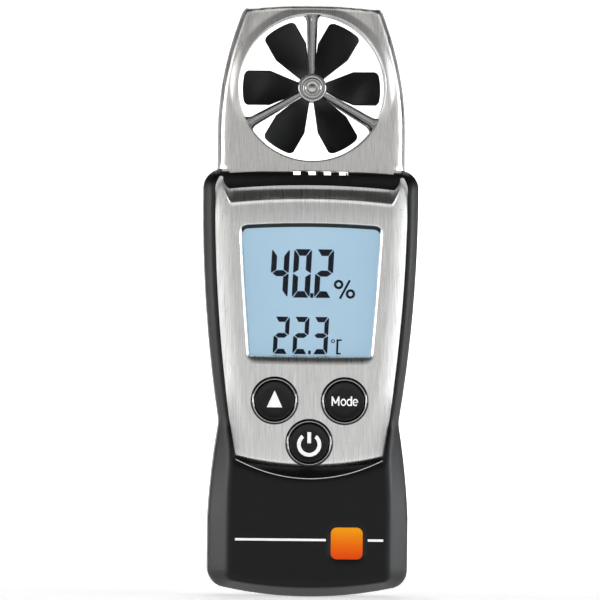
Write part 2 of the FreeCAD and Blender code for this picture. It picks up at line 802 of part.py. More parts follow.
def screw(radius, length, head_radius, head_height):
    """A pan-head screw along +Y whose head starts at y = 0 and whose shank points to the front."""
    shank = rod_along_depth(radius, -length, 0.0)
    head = rod_along_depth(head_radius, 0.0, head_height)
    slot_half = 0.22
    reach = head_radius * 0.62
    depth = head_height * 0.5
    across = box_between((-reach, head_height - depth, -slot_half), (reach, head_height + 1, slot_half))
    upright = box_between((-slot_half, head_height - depth, -reach), (slot_half, head_height + 1, reach))
    return shank.fuse(head).cut(across).cut(upright)


def screw_group(label, places, depth, template):
    solids = []
    for across, up in places:
        copy = template.copy()
        copy.translate(Vector(across, depth, up))
        solids.append(copy)
    part_feature(label, Part.makeCompound(solids))


def all_screws():
    upper = [(sign * size("upper_boss_half"), size("upper_boss_height")) for sign in (-1, 1)]
    lower = [(sign * size("lower_boss_half"), size("lower_boss_height")) for sign in (-1, 1)]
    screw_group("case_screws", upper + lower, 5.0, screw(0.95, 9.5, 1.65, 1.2))
    heights = (size("board_low") + 2, size("board_high") - 1.6)
    board = [(sign * 12.6, height) for sign in (-1, 1) for height in heights]
    screw_group("board_screws", board, -size("board_rear"), screw(0.6, 3.8, 1.25, 0.8))
    head = [(sign * size("head_screw_across"), size("head_screw_height")) for sign in (-1, 1)]
    screw_group("head_screws", head, 5.9, screw(0.75, 9.4, 1.4, 1.0))


# ---------------------------------------------------------------- measuring head

def head_frame(label, towards):
    """One half of the metal head: an insert in the case, the visible shield and the duct mouth."""
    body = new_body(label)
    flat = "Dims.head_half_depth - 1.5"
    blank = outline_sketch(body, "blank", head_outline(0.0, 0.0))
    extrude(body, blank, flat, towards)
    side = outline_sketch(body, "edge", head_outline(0.0, 0.0), neck_offset(towards, flat))
    face = outline_sketch(body, "face", head_outline(2.4, 0.9), neck_offset(towards, "Dims.head_half_depth"))
    loft(body, side, face)
    pad_box(body, "insert", None,
            ("-Dims.head_insert_half", "Dims.head_insert_half", "Dims.head_insert_low",
             "Dims.head_step + 0.5"), "Dims.head_half_depth - 0.02", towards)
    pocket_circle(body, "duct", None, "0", "Dims.vane_height", "Dims.duct_radius", "20", towards)
    pocket_circle(body, "liner_seat", None, "0", "Dims.vane_height", "Dims.liner_radius + 0.02",
                  "Dims.spider_outer", towards)
    last = f"Dims.slot_first + {SLOTS - 1} * Dims.slot_pitch + Dims.slot_width / 2 + 0.7"
    pocket_box(body, "sensor_slot", None,
               ("Dims.slot_first - Dims.slot_width / 2 - 0.7", last, "Dims.slot_floor", "Dims.slot_high"),
               "20", towards)
    pocket_box(body, "sensor_recess", None, ("-5.5", "9.5", "Dims.slot_floor - 0.7", "Dims.slot_floor + 0.2"),
               "5.6", towards)
    pocket_box(body, "lead_channel", None, ("-13.4", "-11.0", "Dims.head_insert_low - 1", "96.6"),
               "0.8", towards)
    pocket_box(body, "flex_channel", None, ("-3.3", "3.3", "Dims.head_insert_low - 1", "Dims.slot_floor"),
               "3.0", towards)
    for side_name, sign in (("left", "-"), ("right", "")):
        screw_place = (f"{sign}Dims.head_screw_across", "Dims.head_screw_height")
        if towards == "front":
            pocket_circle(body, f"pilot_{side_name}", None, *screw_place, "0.8", "3.8", towards)
        else:
            pocket_circle(body, f"through_{side_name}", None, *screw_place, "0.85", "20", towards)
            pocket_circle(body, f"sink_{side_name}", "-5.9", *screw_place, "1.5", "20", towards)
    coil_pocket(body, towards)
    return body


def coil_angle():
    """The pickup coil lies on a ray from the vane's centre, down and to the left."""
    return math.radians(229.0)


def coil_pocket(body, towards):
    """Half of the round nest that holds the pickup coil against the duct liner."""
    sketch = new_sketch(body, "coil_nest")
    reach = (size("liner_radius") + 0.1, size("liner_radius") + 3.3)
    half = 1.25
    angle = coil_angle()
    ray = (math.cos(angle), math.sin(angle))
    corners = []
    for distance, sideways in ((reach[0] - 0.4, -half), (reach[1], -half), (reach[1], half),
                               (reach[0] - 0.4, half)):
        corners.append((ray[0] * distance - ray[1] * sideways,
                        size("vane_height") + ray[1] * distance + ray[0] * sideways))
    draw_loop(sketch, corners, [0.0] * 4)
    extrude(body, sketch, "1.25", towards, cut=True)


def spider(label, towards):
    """A bearing bridge: a rim that sits in the head, three spokes and a ringed hub."""
    body = new_body(label)
    offset = neck_offset(towards, "Dims.spider_inner")
    depth = "Dims.spider_outer - Dims.spider_inner"
    rim = new_sketch(body, "rim", offset=offset)
    draw_circle(rim, "0", "Dims.vane_height", "Dims.liner_radius")
    draw_circle(rim, "0", "Dims.vane_height", "Dims.duct_radius")
    extrude(body, rim, depth, towards)
    pad_circle(body, "hub", offset, "0", "Dims.vane_height", "Dims.spider_hub_radius", depth, towards)
    for index in range(SPOKES):
        spokes = new_sketch(body, f"spoke_{index}", offset=offset)
        angle = math.radians(90.0 + index * 360.0 / SPOKES)
        ray = (math.cos(angle), math.sin(angle))
        hub_half = size("spoke_width_at_hub") / 2
        rim_half = size("spoke_width_at_rim") / 2
        flare = rim_half + size("spoke_flare")
        root = size("spider_hub_radius") - 0.6
        neck = size("duct_radius") - 1.6
        tip = size("duct_radius") + 0.3
        corners = []
        for distance, sideways in ((root, -hub_half), (neck, -rim_half), (tip, -flare),
                                   (tip, flare), (neck, rim_half), (root, hub_half)):
            corners.append((ray[0] * distance - ray[1] * sideways,
                            size("vane_height") + ray[1] * distance + ray[0] * sideways))
        draw_loop(spokes, corners, [0.0, -0.3, 0.0, -0.3, 0.0, 0.0])
        extrude(body, spokes, f"{depth} - 0.2", towards)
    pocket_circle(body, "bearing_seat", neck_offset(towards, "Dims.spider_inner - 1"), "0",
                  "Dims.vane_height", "Dims.bearing_radius", "6", towards)
    return body


def bearing(label, towards):
    """A jewel bearing with a blind bore for the shaft's pivot."""
    body = new_body(label)
    pad_circle(body, "jewel", neck_offset(towards, "Dims.spider_inner"), "0", "Dims.vane_height",
               "Dims.bearing_radius", "Dims.spider_outer - Dims.spider_inner - 0.1", towards)
    pocket_circle(body, "bore", neck_offset(towards, "Dims.spider_inner - 1"), "0", "Dims.vane_height",
                  "Dims.pivot_radius + Dims.pivot_clearance", "2.1", towards)
    return body


def duct_liner():
    body = new_body("duct_liner")
    ring = new_sketch(body, "ring", offset="-Dims.spider_inner")
    draw_circle(ring, "0", "Dims.vane_height", "Dims.liner_radius")
    draw_circle(ring, "0", "Dims.vane_height", "Dims.duct_radius")
    extrude(body, ring, "2 * Dims.spider_inner", "front")
    return body


def impeller():
    """Hub and twisted blades, drawn about the body's own origin and lifted to the vane's centre."""
    body = new_body("impeller")
    pad_circle(body, "hub", "-Dims.hub_half_length", "0", "0", "Dims.hub_radius",
               "2 * Dims.hub_half_length", "front")
    # Distance from the axis, width seen from the front and pitch from the plane of rotation.
    stations = ((size("hub_radius") - 0.6, 1.55, 62.0), (9.0, 7.0, 40.0),
                (size("blade_tip_radius") + 0.4, 7.1, 32.0))
    sections = []
    for index, (distance, seen_width, pitch) in enumerate(stations):
        section = new_sketch(body, f"blade_{index}", role="YZ_Plane", offset=f"{distance} mm")
        angle = math.radians(pitch)
        half_chord = seen_width / math.cos(angle) / 2
        half_thickness = size("blade_thickness") / 2
        chord = (math.sin(angle), math.cos(angle))
        corners = []
        for along, aside in ((-half_chord, -half_thickness), (half_chord, -half_thickness),
                             (half_chord, half_thickness), (-half_chord, half_thickness)):
            corners.append((chord[0] * along - chord[1] * aside, chord[1] * along + chord[0] * aside))
        draw_loop(section, corners, [0.0] * 4)
        sections.append(section)
    blade = body.newObject("PartDesign::AdditiveLoft", "blade_loft")
    blade.Profile = sections[0]
    blade.Sections = sections[1:]
    blade.Ruled = True
    finish_feature(body, blade, cut=False)
    ring = body.newObject("PartDesign::PolarPattern", "blade_ring")
    ring.Originals = [blade]
    ring.Axis = (origin_axis(body, "Y_Axis"), [""])
    ring.Angle = 360
    ring.Occurrences = BLADES
    body.Tip = ring
    doc.recompute()
    beyond = size("case_half_depth")
    trim = new_sketch(body, "tip_trim", offset=f"-{beyond}")
    draw_circle(trim, "0", "0", "Dims.blade_tip_radius + 4")
    draw_loop(trim, *tip_outline())
    extrude(body, trim, f"{2 * beyond}", "front", cut=True)
    pocket_circle(body, "shaft_bore", f"-{beyond}", "0", "0", "Dims.shaft_radius", f"{2 * beyond}", "front")
    pocket_circle(body, "magnet_seat", "-Dims.magnet_front", "0", "0", "Dims.magnet_radius",
                  "Dims.hub_half_length + 1", "rear")
    body.setExpression(".Placement.Base.z", "Dims.vane_height")
    doc.recompute()
    return body


def tip_outline():
    """What the blades keep when their tips are trimmed: tip arcs with rounded corners."""
    tip = size("blade_tip_radius")
    arc_half = 2.55
    arc_start = math.sqrt(tip ** 2 - arc_half ** 2)
    tip_sagitta = tip - arc_start
    corner = (tip - 1.45, 3.75)
    corner_sagitta = 0.3
    corners = []
    sagittas = []
    for index in range(BLADES):
        angle = math.radians(index * 360.0 / BLADES)
        for out, aside in ((corner[0], -corner[1]), (arc_start, -arc_half),
                           (arc_start, arc_half), corner):
            corners.append((math.cos(angle) * out - math.sin(angle) * aside,
                            math.sin(angle) * out + math.cos(angle) * aside))
        sagittas.extend([corner_sagitta, tip_sagitta, corner_sagitta, 0.0])
    return corners, sagittas


def origin_axis(body, role):
    return next(item for item in body.Origin.OriginFeatures if item.Role == role)


def rotor_pieces():
    """The impeller's shaft, with a fine pivot at each end, and the magnet that the coil senses."""
    up = size("vane_height")
    middle = 3.95
    ends = size("spider_inner") + 1.0
    thick = rod_along_depth(size("shaft_radius"), -middle, middle, up=up)
    thin = rod_along_depth(size("pivot_radius"), -ends, ends, up=up)
    part_feature("impeller_shaft", thick.fuse(thin).removeSplitter())
    magnet = rod_along_depth(size("magnet_radius"), size("magnet_front"), size("hub_half_length"), up=up)
    part_feature("hub_magnet", magnet.cut(rod_along_depth(size("shaft_radius"), 0.0, 5.0, up=up)))


def pickup_pieces():
    """The coil that counts the magnet's turns, and its two leads down into the case."""
    angle = coil_angle()
    ray = Vector(math.cos(angle), 0, math.sin(angle))
    centre = Vector(0, 0, size("vane_height"))
    start = centre + ray * (size("liner_radius") + 0.05)
    core = Part.makeCylinder(0.45, 3.1, start, ray)
    winding = Part.makeCylinder(1.15, 2.5, start + ray * 0.3, ray)
    part_feature("pickup_coil", core.fuse(winding).removeSplitter())
    leads = []
    for across in (-12.75, -11.65):
        leads.append(Part.makeCylinder(0.22, 10.5, Vector(across, 0, 83.2), Vector(0, 0, 1)))
    part_feature("pickup_leads", Part.makeCompound(leads))


def sensor_pieces():
    """The small board in the slot under the vane, its two sensors, the grilles and the ribbon."""
    floor = size("slot_floor")
    board_top = floor + 0.1
    board = box_between((-5.3, -5.4, floor - 0.5), (9.3, 5.4, board_top))
    part_feature("sensor_board", board)
    humidity = box_between((-1.5, -1.5, board_top), (1.5, 1.5, board_top + 0.9))
    vent = Part.makeCylinder(0.5, 0.5, Vector(0, 0, board_top + 0.6), Vector(0, 0, 1))
    part_feature("humidity_sensor", humidity.cut(vent))
    bead = Part.makeCylinder(0.55, 2.2, Vector(4.3, 0, board_top + 0.55), Vector(1, 0, 0))
    legs = box_between((4.0, -0.3, board_top), (4.4, 0.3, board_top + 0.9))
    part_feature("temperature_sensor", bead.fuse(legs).removeSplitter())
    ribbon = box_between((-3.0, -2.6, 77.0), (3.0, -2.35, floor - 0.5))
    part_feature("sensor_ribbon", ribbon)
    for label, depth in (("front_slot_grille", -7.35), ("rear_slot_grille", 6.35)):
        part_feature(label, slot_grille(depth))


def slot_grille(front):
    """A comb with a sill and upright bars that keep fingers off the sensors."""
    left = size("slot_first") - size("slot_width") / 2 - 0.6
    right = size("slot_first") + (SLOTS - 1) * size("slot_pitch") + size("slot_width") / 2 + 0.6
    comb = box_between((left, front, size("slot_floor") + 0.12), (right, front + 1.0, size("slot_low")))
    gap = size("slot_pitch") - size("slot_width")
    for index in range(SLOTS + 1):
        middle = size("slot_first") + (index - 0.5) * size("slot_pitch")
        low = max(middle - gap / 2, left)
        high = min(middle + gap / 2, right)
        bar = box_between((low, front, size("slot_floor") + 0.12),
                          (high, front + 1.0, size("slot_high") - 0.04))
        comb = comb.fuse(bar)
    return comb.removeSplitter()


# ---------------------------------------------------------------- power

def battery_pieces():
    """Two slim cells side by side, head to tail, and the contacts that join them."""
    depth = size("cell_depth")
    low = size("cell_low")
    length = size("cell_length")
    nub = 1.1
    for index, sign in enumerate((-1, 1), start=1):
        across = sign * size("cell_pitch") / 2
        can = Part.makeCylinder(size("cell_radius"), length, Vector(across, depth, low), Vector(0, 0, 1))
        can = can.makeFillet(0.4, [edge for edge in can.Edges if edge.Closed])
        nub_base = low + length if sign < 0 else low - nub
        tip = Part.makeCylinder(1.9, nub + 0.2, Vector(across, depth, nub_base - (0.2 if sign < 0 else 0.0)),
                                Vector(0, 0, 1))
        part_feature(f"battery_{index}", can.fuse(tip).removeSplitter())
    contact_pieces(depth, low, length, nub)


def leaf_contact(across, depth, base, crest):
    """A stamped strip: a flat foot on the bay's end wall and a sprung leaf that meets the cell."""
    metal = size("contact_metal")
    upward = 1.0 if crest > base else -1.0
    foot = base + upward * metal / 2
    top = crest - upward * metal / 2
    path = [
        Vector(0, depth - 3.6, foot), Vector(0, depth + 3.4, foot),
        Vector(0, depth + 3.6, foot + upward * 0.5), Vector(0, depth + 0.4, top),
        Vector(0, depth - 1.8, top - upward * 0.9),
    ]
    strip = None
    for start, end in zip(path, path[1:]):
        along = end - start
        aside = Vector(0, -along.z, along.y).normalize() * (metal / 2)
        corners = [start + aside, end + aside, end - aside, start - aside, start + aside]
        slab = Part.Face(Part.makePolygon(corners)).extrude(Vector(4.4, 0, 0))
        bend = Part.makeCylinder(metal / 2, 4.4, end, Vector(1, 0, 0))
        strip = slab.fuse(bend) if strip is None else strip.fuse([slab, bend])
    strip.translate(Vector(across - 2.2, 0, 0))
    return strip.removeSplitter()


def contact_pieces(depth, low, length, nub):
    """Contacts: a leaf and a button plate below, and a link plate with its own leaf above."""
    half = size("cell_pitch") / 2
    floor = size("bay_low") + 0.8
    ceiling = size("bay_high")
    metal = size("contact_metal")
    touch = 0.03
    part_feature("negative_contact", leaf_contact(-half, depth, floor, low - touch))
    plate = box_between((half - 3.8, depth - 3.8, floor), (half + 3.8, depth + 3.8, floor + metal))
    pad = Part.makeCylinder(1.6, low - nub - floor - metal - touch, Vector(half, depth, floor + metal),
                            Vector(0, 0, 1))
    part_feature("positive_contact", plate.fuse(pad).removeSplitter())
    bridge = box_between((-half - 3.8, depth - 3.8, ceiling - metal), (half + 1.0, depth + 3.8, ceiling))
    pad = Part.makeCylinder(1.6, ceiling - metal - low - length - nub - touch,
                            Vector(-half, depth, low + length + nub + touch), Vector(0, 0, 1))
    leaf = leaf_contact(half, depth, ceiling, low + length + touch)
    part_feature("link_contact", bridge.fuse([pad, leaf]).removeSplitter())


def battery_door():
    body = new_body("battery_door")
    leaf = new_sketch(body, "leaf", offset="-Dims.case_half_depth")
    draw_rectangle(leaf, "-Dims.door_half", "Dims.door_half", "Dims.door_low", "Dims.door_high")
    extrude(body, leaf, "Dims.door_thickness - 0.05", "front")
    ridges = new_sketch(body, "grip_ridges", offset="-Dims.case_half_depth")
    for index in range(5):
        low = 12.0 + index * 2.0
        draw_rectangle(ridges, "-6", "6", f"{low}", f"{low + 1.0}")
    extrude(body, ridges, "0.35", "front", cut=True)
    tongues = new_sketch(body, "tongues", offset="-(Dims.case_half_depth - Dims.door_thickness + 0.05)")
    draw_rectangle(tongues, "-(Dims.door_half + 0.75)", "Dims.door_half + 0.75", "40.1", "46")
    extrude(body, tongues, "0.5", "rear")
    return body


# ---------------------------------------------------------------- assembly

def build():
    front_shell()
    rear_shell()
    faceplate()
    front_badge()
    for name in BUTTONS:
        button_pieces(name)
    display_pieces()
    main_board()
    head_frame("head_front_frame", "front")
    head_frame("head_rear_frame", "rear")
    spider("front_spider", "front")
    spider("rear_spider", "rear")
    bearing("front_bearing", "front")
    bearing("rear_bearing", "rear")
    duct_liner()
    impeller()
    rotor_pieces()
    pickup_pieces()
    sensor_pieces()
    battery_pieces()
    battery_door()
    all_screws()


def check_document():
    """Stop before anything is written if an object or a piece's shape has failed."""
    doc.recompute()
    for item in doc.Objects:
        if "Invalid" in item.State or "Error" in item.State:
            raise RuntimeError(f"{item.Label} failed: {item.State}")
    for piece in PIECES:
        if piece.Shape.isNull() or not piece.Shape.isValid():
            raise RuntimeError(f"{piece.Label} has no valid shape")


def export_pieces():
    os.makedirs("parts", exist_ok=True)
    for piece in PIECES:
        piece.Shape.exportStep(f"parts/{piece.Label}.step")


build()
check_document()
export_pieces()
print(f"{len(PIECES)} pieces written")
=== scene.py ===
import bmesh
import bpy
import json
import math
from mathutils import Matrix, Vector


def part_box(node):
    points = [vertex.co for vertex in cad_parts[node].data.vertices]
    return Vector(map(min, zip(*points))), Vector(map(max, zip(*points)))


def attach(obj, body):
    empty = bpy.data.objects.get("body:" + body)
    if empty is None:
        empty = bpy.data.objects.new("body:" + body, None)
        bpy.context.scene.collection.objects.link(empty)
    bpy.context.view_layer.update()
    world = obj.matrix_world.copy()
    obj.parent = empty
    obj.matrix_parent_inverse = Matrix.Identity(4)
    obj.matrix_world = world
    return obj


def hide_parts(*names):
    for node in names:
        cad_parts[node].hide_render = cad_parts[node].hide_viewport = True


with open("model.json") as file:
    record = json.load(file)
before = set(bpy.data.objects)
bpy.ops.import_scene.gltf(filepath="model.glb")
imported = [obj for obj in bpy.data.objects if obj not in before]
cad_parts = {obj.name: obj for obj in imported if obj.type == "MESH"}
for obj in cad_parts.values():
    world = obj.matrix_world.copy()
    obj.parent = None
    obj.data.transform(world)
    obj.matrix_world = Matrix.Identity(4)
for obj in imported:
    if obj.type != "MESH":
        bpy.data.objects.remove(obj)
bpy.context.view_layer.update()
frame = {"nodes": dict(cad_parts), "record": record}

MM = 0.001
NODES = frame["nodes"]

# Depths of the case's faces in millimetres. The y axis runs from the front to the rear.
BASE_FACE = -12.5
PLATE_FRONT = -10.6
PLATE_BACK = -9.02
# How far print stands proud of what it is on.
PRINT = 0.025
# Radius of the air duct, about the vane's axis.
DUCT = 15.7


def corners_of(node):
    """Lowest and highest corner of a CAD node, in millimetres."""
    low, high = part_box(node)
    return low / MM, high / MM


# ---------------------------------------------------------------- meshes

def new_object(name, points, faces):
    """A mesh object in the scene, from points in millimetres."""
    mesh = bpy.data.meshes.new(name)
    mesh.from_pydata([(x * MM, y * MM, z * MM) for x, y, z in points], [], faces)
    item = bpy.data.objects.new(name, mesh)
    bpy.context.scene.collection.objects.link(item)
    return item


def set_edges(piece, angle):
    """Smooth shading, with edges sharper than an angle in degrees left crisp."""
    piece.data.shade_smooth()
    piece.data.set_sharp_from_angle(angle=math.radians(angle))


def mesh_piece(name, points, faces, material, body="root", smooth_angle=None):
    """A mesh from points in millimetres, riding on a CAD body."""
    piece = new_object(name, points, faces)
    mesh = piece.data
    mesh.validate()
    work = bmesh.new()
    work.from_mesh(mesh)
    bmesh.ops.recalc_face_normals(work, faces=work.faces)
    work.to_mesh(mesh)
    work.free()
    mesh.materials.append(material)
    if smooth_angle is not None:
        set_edges(piece, smooth_angle)
    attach(piece, body)
    return piece


def joined(parts):
    """Several (points, faces) lists as one."""
    points = []
    faces = []
    for part_points, part_faces in parts:
        start = len(points)
        points.extend(part_points)
        faces.extend([tuple(index + start for index in face) for face in part_faces])
    return points, faces


def mirrored(points, faces):
    """A shape mirrored from the front to the rear."""
    return [(x, -y, z) for x, y, z in points], [tuple(reversed(face)) for face in faces]


def prism(outline, front, rear):
    """A closed prism from an outline of (x, z), from front to rear along y."""
    count = len(outline)
    points = [(x, front, z) for x, z in outline] + [(x, rear, z) for x, z in outline]
    pairs = zip(outline, outline[1:] + outline[:1])
    area = sum(here[0] * there[1] - there[0] * here[1] for here, there in pairs)
    loop = list(range(count)) if area > 0 else list(reversed(range(count)))
    faces = [tuple(loop), tuple(index + count for index in reversed(loop))]
    for place, index in enumerate(loop):
        following = loop[(place + 1) % count]
        faces.append((index, index + count, following + count, following))
    return points, faces


def lathe(profile, centre, steps=96):
    """A turned shape about an axis along y, from a profile of (radius, y)."""
    across, up = centre
    points = []
    rings = []
    for radius, depth in profile:
        if radius < 1e-6:
            rings.append([len(points)])
            points.append((across, depth, up))
            continue
        rings.append(list(range(len(points), len(points) + steps)))
        for step in range(steps):
            angle = 2 * math.pi * step / steps
            points.append((across + radius * math.cos(angle), depth,
                           up + radius * math.sin(angle)))
    faces = []
    for first, second in zip(rings, rings[1:]):
        for step in range(steps):
            following = (step + 1) % steps
            if len(first) == 1:
                faces.append((first[0], second[following], second[step]))
            elif len(second) == 1:
                faces.append((first[step], first[following], second[0]))
            else:
                faces.append((first[step], first[following],
                              second[following], second[step]))
    return points, faces


def closed_lathe(profile, centre, steps=96):
    """A turned ring: the profile's last point joins its first."""
    return lathe(list(profile) + [profile[0]], centre, steps)


def arc(centre, radius, start, end, steps):
    """Points of an arc, angles in degrees."""
    points = []
    for step in range(steps + 1):
        angle = math.radians(start + (end - start) * step / steps)
        points.append((centre[0] + radius * math.cos(angle),
                       centre[1] + radius * math.sin(angle)))
    return points


def disc_prism(centre, radius, front, rear, steps=48):
    """A closed round plug along y, about a centre of (x, z)."""
    return prism(arc(centre, radius, 0, 360, steps)[:-1], front, rear)


def bulge(start, end, share, sagitta):
    """A value between two ends, swollen in the middle."""
    return start + (end - start) * share + sagitta * 4 * share * (1 - share)


def smooth_step(value, low, high):
    """0 below low, 1 above high, and an even S between them."""
    share = min(max((value - low) / (high - low), 0.0), 1.0)
    return share * share * (3 - 2 * share)


# ---------------------------------------------------------------- materials

# Noise lies mostly between these two, so the range between them is what gets mapped.
NOISE_LOW = 0.3
NOISE_HIGH = 0.7
# Noise with the same scale along every axis, and the scale of moulded and brushed grain.
EVEN = (1.0, 1.0, 1.0)
FINE_GRAIN = 5200.0


def map_range(nodes, from_low, from_high, to_low=0.0, to_high=1.0):
    """A Map Range node from one range of numbers to another."""
    remap = nodes.new("ShaderNodeMapRange")
    remap.inputs["From Min"].default_value = from_low
    remap.inputs["From Max"].default_value = from_high
    remap.inputs["To Min"].default_value = to_low
    remap.inputs["To Max"].default_value = to_high
    return remap


def color_ramp(nodes, stops):
    """A colour ramp through stops of (place, colour), in order."""
    node = nodes.new("ShaderNodeValToRGB")
    elements = node.color_ramp.elements
    for element, (place, color) in ((elements[0], stops[0]), (elements[1], stops[-1])):
        element.position = place
        element.color = (*color, 1.0)
    for place, color in stops[1:-1]:
        elements.new(place).color = (*color, 1.0)
    return node


def scaled(color, share):
    """A colour made darker or lighter, and never above full."""
    return tuple(min(channel * share, 1.0) for channel in color)


class Shader:
    """A material with its Principled shader, and short ways to add texture to it."""

    def __init__(self, name, color, roughness, metallic=0.0, **values):
        self.material = bpy.data.materials.new(name)
        self.material.use_nodes = True
        self.nodes = self.material.node_tree.nodes
        self.links = self.material.node_tree.links
        self.surface = self.nodes["Principled BSDF"]
        self.set("Base Color", (*color, 1.0))
        self.set("Roughness", roughness)
        self.set("Metallic", metallic)
        for socket, value in values.items():
            self.set(socket.replace("_", " "), value)

    def set(self, socket, value):
        self.surface.inputs[socket].default_value = value

    def noise(self, stretch, scale, detail=3.0):
        """Noise in the part's own coordinates, stretched along the axes."""
        place = self.nodes.new("ShaderNodeTexCoord")
        mapping = self.nodes.new("ShaderNodeMapping")
        mapping.inputs["Scale"].default_value = stretch
        noise = self.nodes.new("ShaderNodeTexNoise")
        noise.inputs["Scale"].default_value = scale
        noise.inputs["Detail"].default_value = detail
        noise.inputs["Roughness"].default_value = 0.6
        self.links.new(place.outputs["Object"], mapping.inputs["Vector"])
        self.links.new(mapping.outputs["Vector"], noise.inputs["Vector"])
        return noise.outputs["Fac"]

    def vary(self, socket, factor, low, high):
        """Maps noise to a range of numbers on a socket."""
        remap = map_range(self.nodes, NOISE_LOW, NOISE_HIGH, low, high)
        self.links.new(factor, remap.inputs["Value"])
        self.links.new(remap.outputs["Result"], self.surface.inputs[socket])

    def tint(self, factor, stops):
        """Maps a factor to colours on the base colour."""
        ramp = color_ramp(self.nodes, stops)
        self.links.new(factor, ramp.inputs["Fac"])
        self.links.new(ramp.outputs["Color"], self.surface.inputs["Base Color"])

    def bump(self, factor, strength, distance, edge_radius=None):
        """Bumps the surface by a factor; edges are softened where a radius is given, in mm."""
        bump = self.nodes.new("ShaderNodeBump")
        if edge_radius:
            bevel = self.nodes.new("ShaderNodeBevel")
            bevel.samples = 6
            bevel.inputs["Radius"].default_value = edge_radius * MM
            self.links.new(bevel.outputs["Normal"], bump.inputs["Normal"])
        bump.inputs["Strength"].default_value = strength
        bump.inputs["Distance"].default_value = distance * MM
        self.links.new(factor, bump.inputs["Height"])
        self.links.new(bump.outputs["Normal"], self.surface.inputs["Normal"])


def soft_plastic(name, color, roughness=0.5, edge_radius=None, specular=0.42):
    """Fine-textured moulded plastic."""
    shader = Shader(name, color, roughness, Specular_IOR_Level=specular)
    shader.bump(shader.noise(EVEN, FINE_GRAIN, detail=2.0), strength=0.25, distance=0.03,
                edge_radius=edge_radius)
    shader.tint(shader.noise(EVEN, 1500.0),
                ((0.35, scaled(color, 0.85)), (0.65, scaled(color, 1.2))))
    return shader.material


def brushed_metal(name, color, grain=0.35):
    """Metal with a fine vertical grain."""
    roughness = 0.3
    shader = Shader(name, color, roughness, metallic=1.0)
    fine = shader.noise((1.0, 0.05, 0.035), FINE_GRAIN, detail=4.0)
    shader.tint(fine, ((0.32, scaled(color, 0.80)), (0.68, scaled(color, 1.12))))
    broad = shader.noise((1.0, 0.05, 0.05), FINE_GRAIN / 2)
    shader.vary("Roughness", broad, roughness * 0.85, roughness * 1.2)
    shader.bump(fine, strength=grain, distance=0.02)
    return shader.material


def plain(name, color, roughness, metallic=0.0, scale=700.0, **values):
    """A plain finish with a little unevenness."""
    shader = Shader(name, color, roughness, metallic, **values)
    shader.tint(shader.noise(EVEN, scale),
                ((0.35, scaled(color, 0.94)), (0.65, scaled(color, 1.06))))
    return shader.material


def badge_enamel():
    """Enamel that runs from amber at the top to red-orange at the bottom, with a faint painted
    orange glow.
    """
    shader = Shader("amber_enamel_painted_glow", (0.85, 0.33, 0.03), 0.38, Specular_IOR_Level=0.12,
                    Emission_Strength=0.16)
    # Painted glow: the badge gives no light of its own.
    shader.set("Emission Color", (1.0, 0.22, 0.0, 1.0))
    low, high = corners_of("front_badge")
    place = shader.nodes.new("ShaderNodeTexCoord")
    split = shader.nodes.new("ShaderNodeSeparateXYZ")
    remap = map_range(shader.nodes, low.z * MM, high.z * MM)
    shader.links.new(place.outputs["Object"], split.inputs["Vector"])
    shader.links.new(split.outputs["Z"], remap.inputs["Value"])
    shader.tint(remap.outputs["Result"], ((0.0, (0.80, 0.030, 0.004)), (0.45, (0.95, 0.15, 0.004)),
                                          (1.0, (1.0, 0.42, 0.008))))
    return shader.material


def lit_display():
    """The pale blue panel, which gives its own light."""
    shader = Shader("lit_display", (0.10, 0.15, 0.20), 0.35, Emission_Strength=1.0,
                    Specular_IOR_Level=0.2)
    shader.set("Emission Color", (0.335, 0.495, 0.62, 1.0))
    shader.tint(shader.noise(EVEN, 60.0), ((0.35, (0.09, 0.14, 0.20)), (0.65, (0.13, 0.18, 0.20))))
    return shader.material


def clear_window():
    """Almost invisible acrylic with a faint gloss."""
    return Shader("clear_acrylic", (0.3, 0.32, 0.35), 0.04, Alpha=0.03,
                  Specular_IOR_Level=0.10).material


def glowing_white_print():
    """Opaque white ink with a painted glow, so that it stays bright in shade."""
    # Painted glow: the ink's emission keeps it bright where shade falls on it.
    material = plain("printed_white_painted_glow", (0.93, 0.93, 0.92), 0.5, Emission_Strength=0.32)
    surface = material.node_tree.nodes["Principled BSDF"]
    surface.inputs["Emission Color"].default_value = (1.0, 1.0, 1.0, 1.0)
    return material


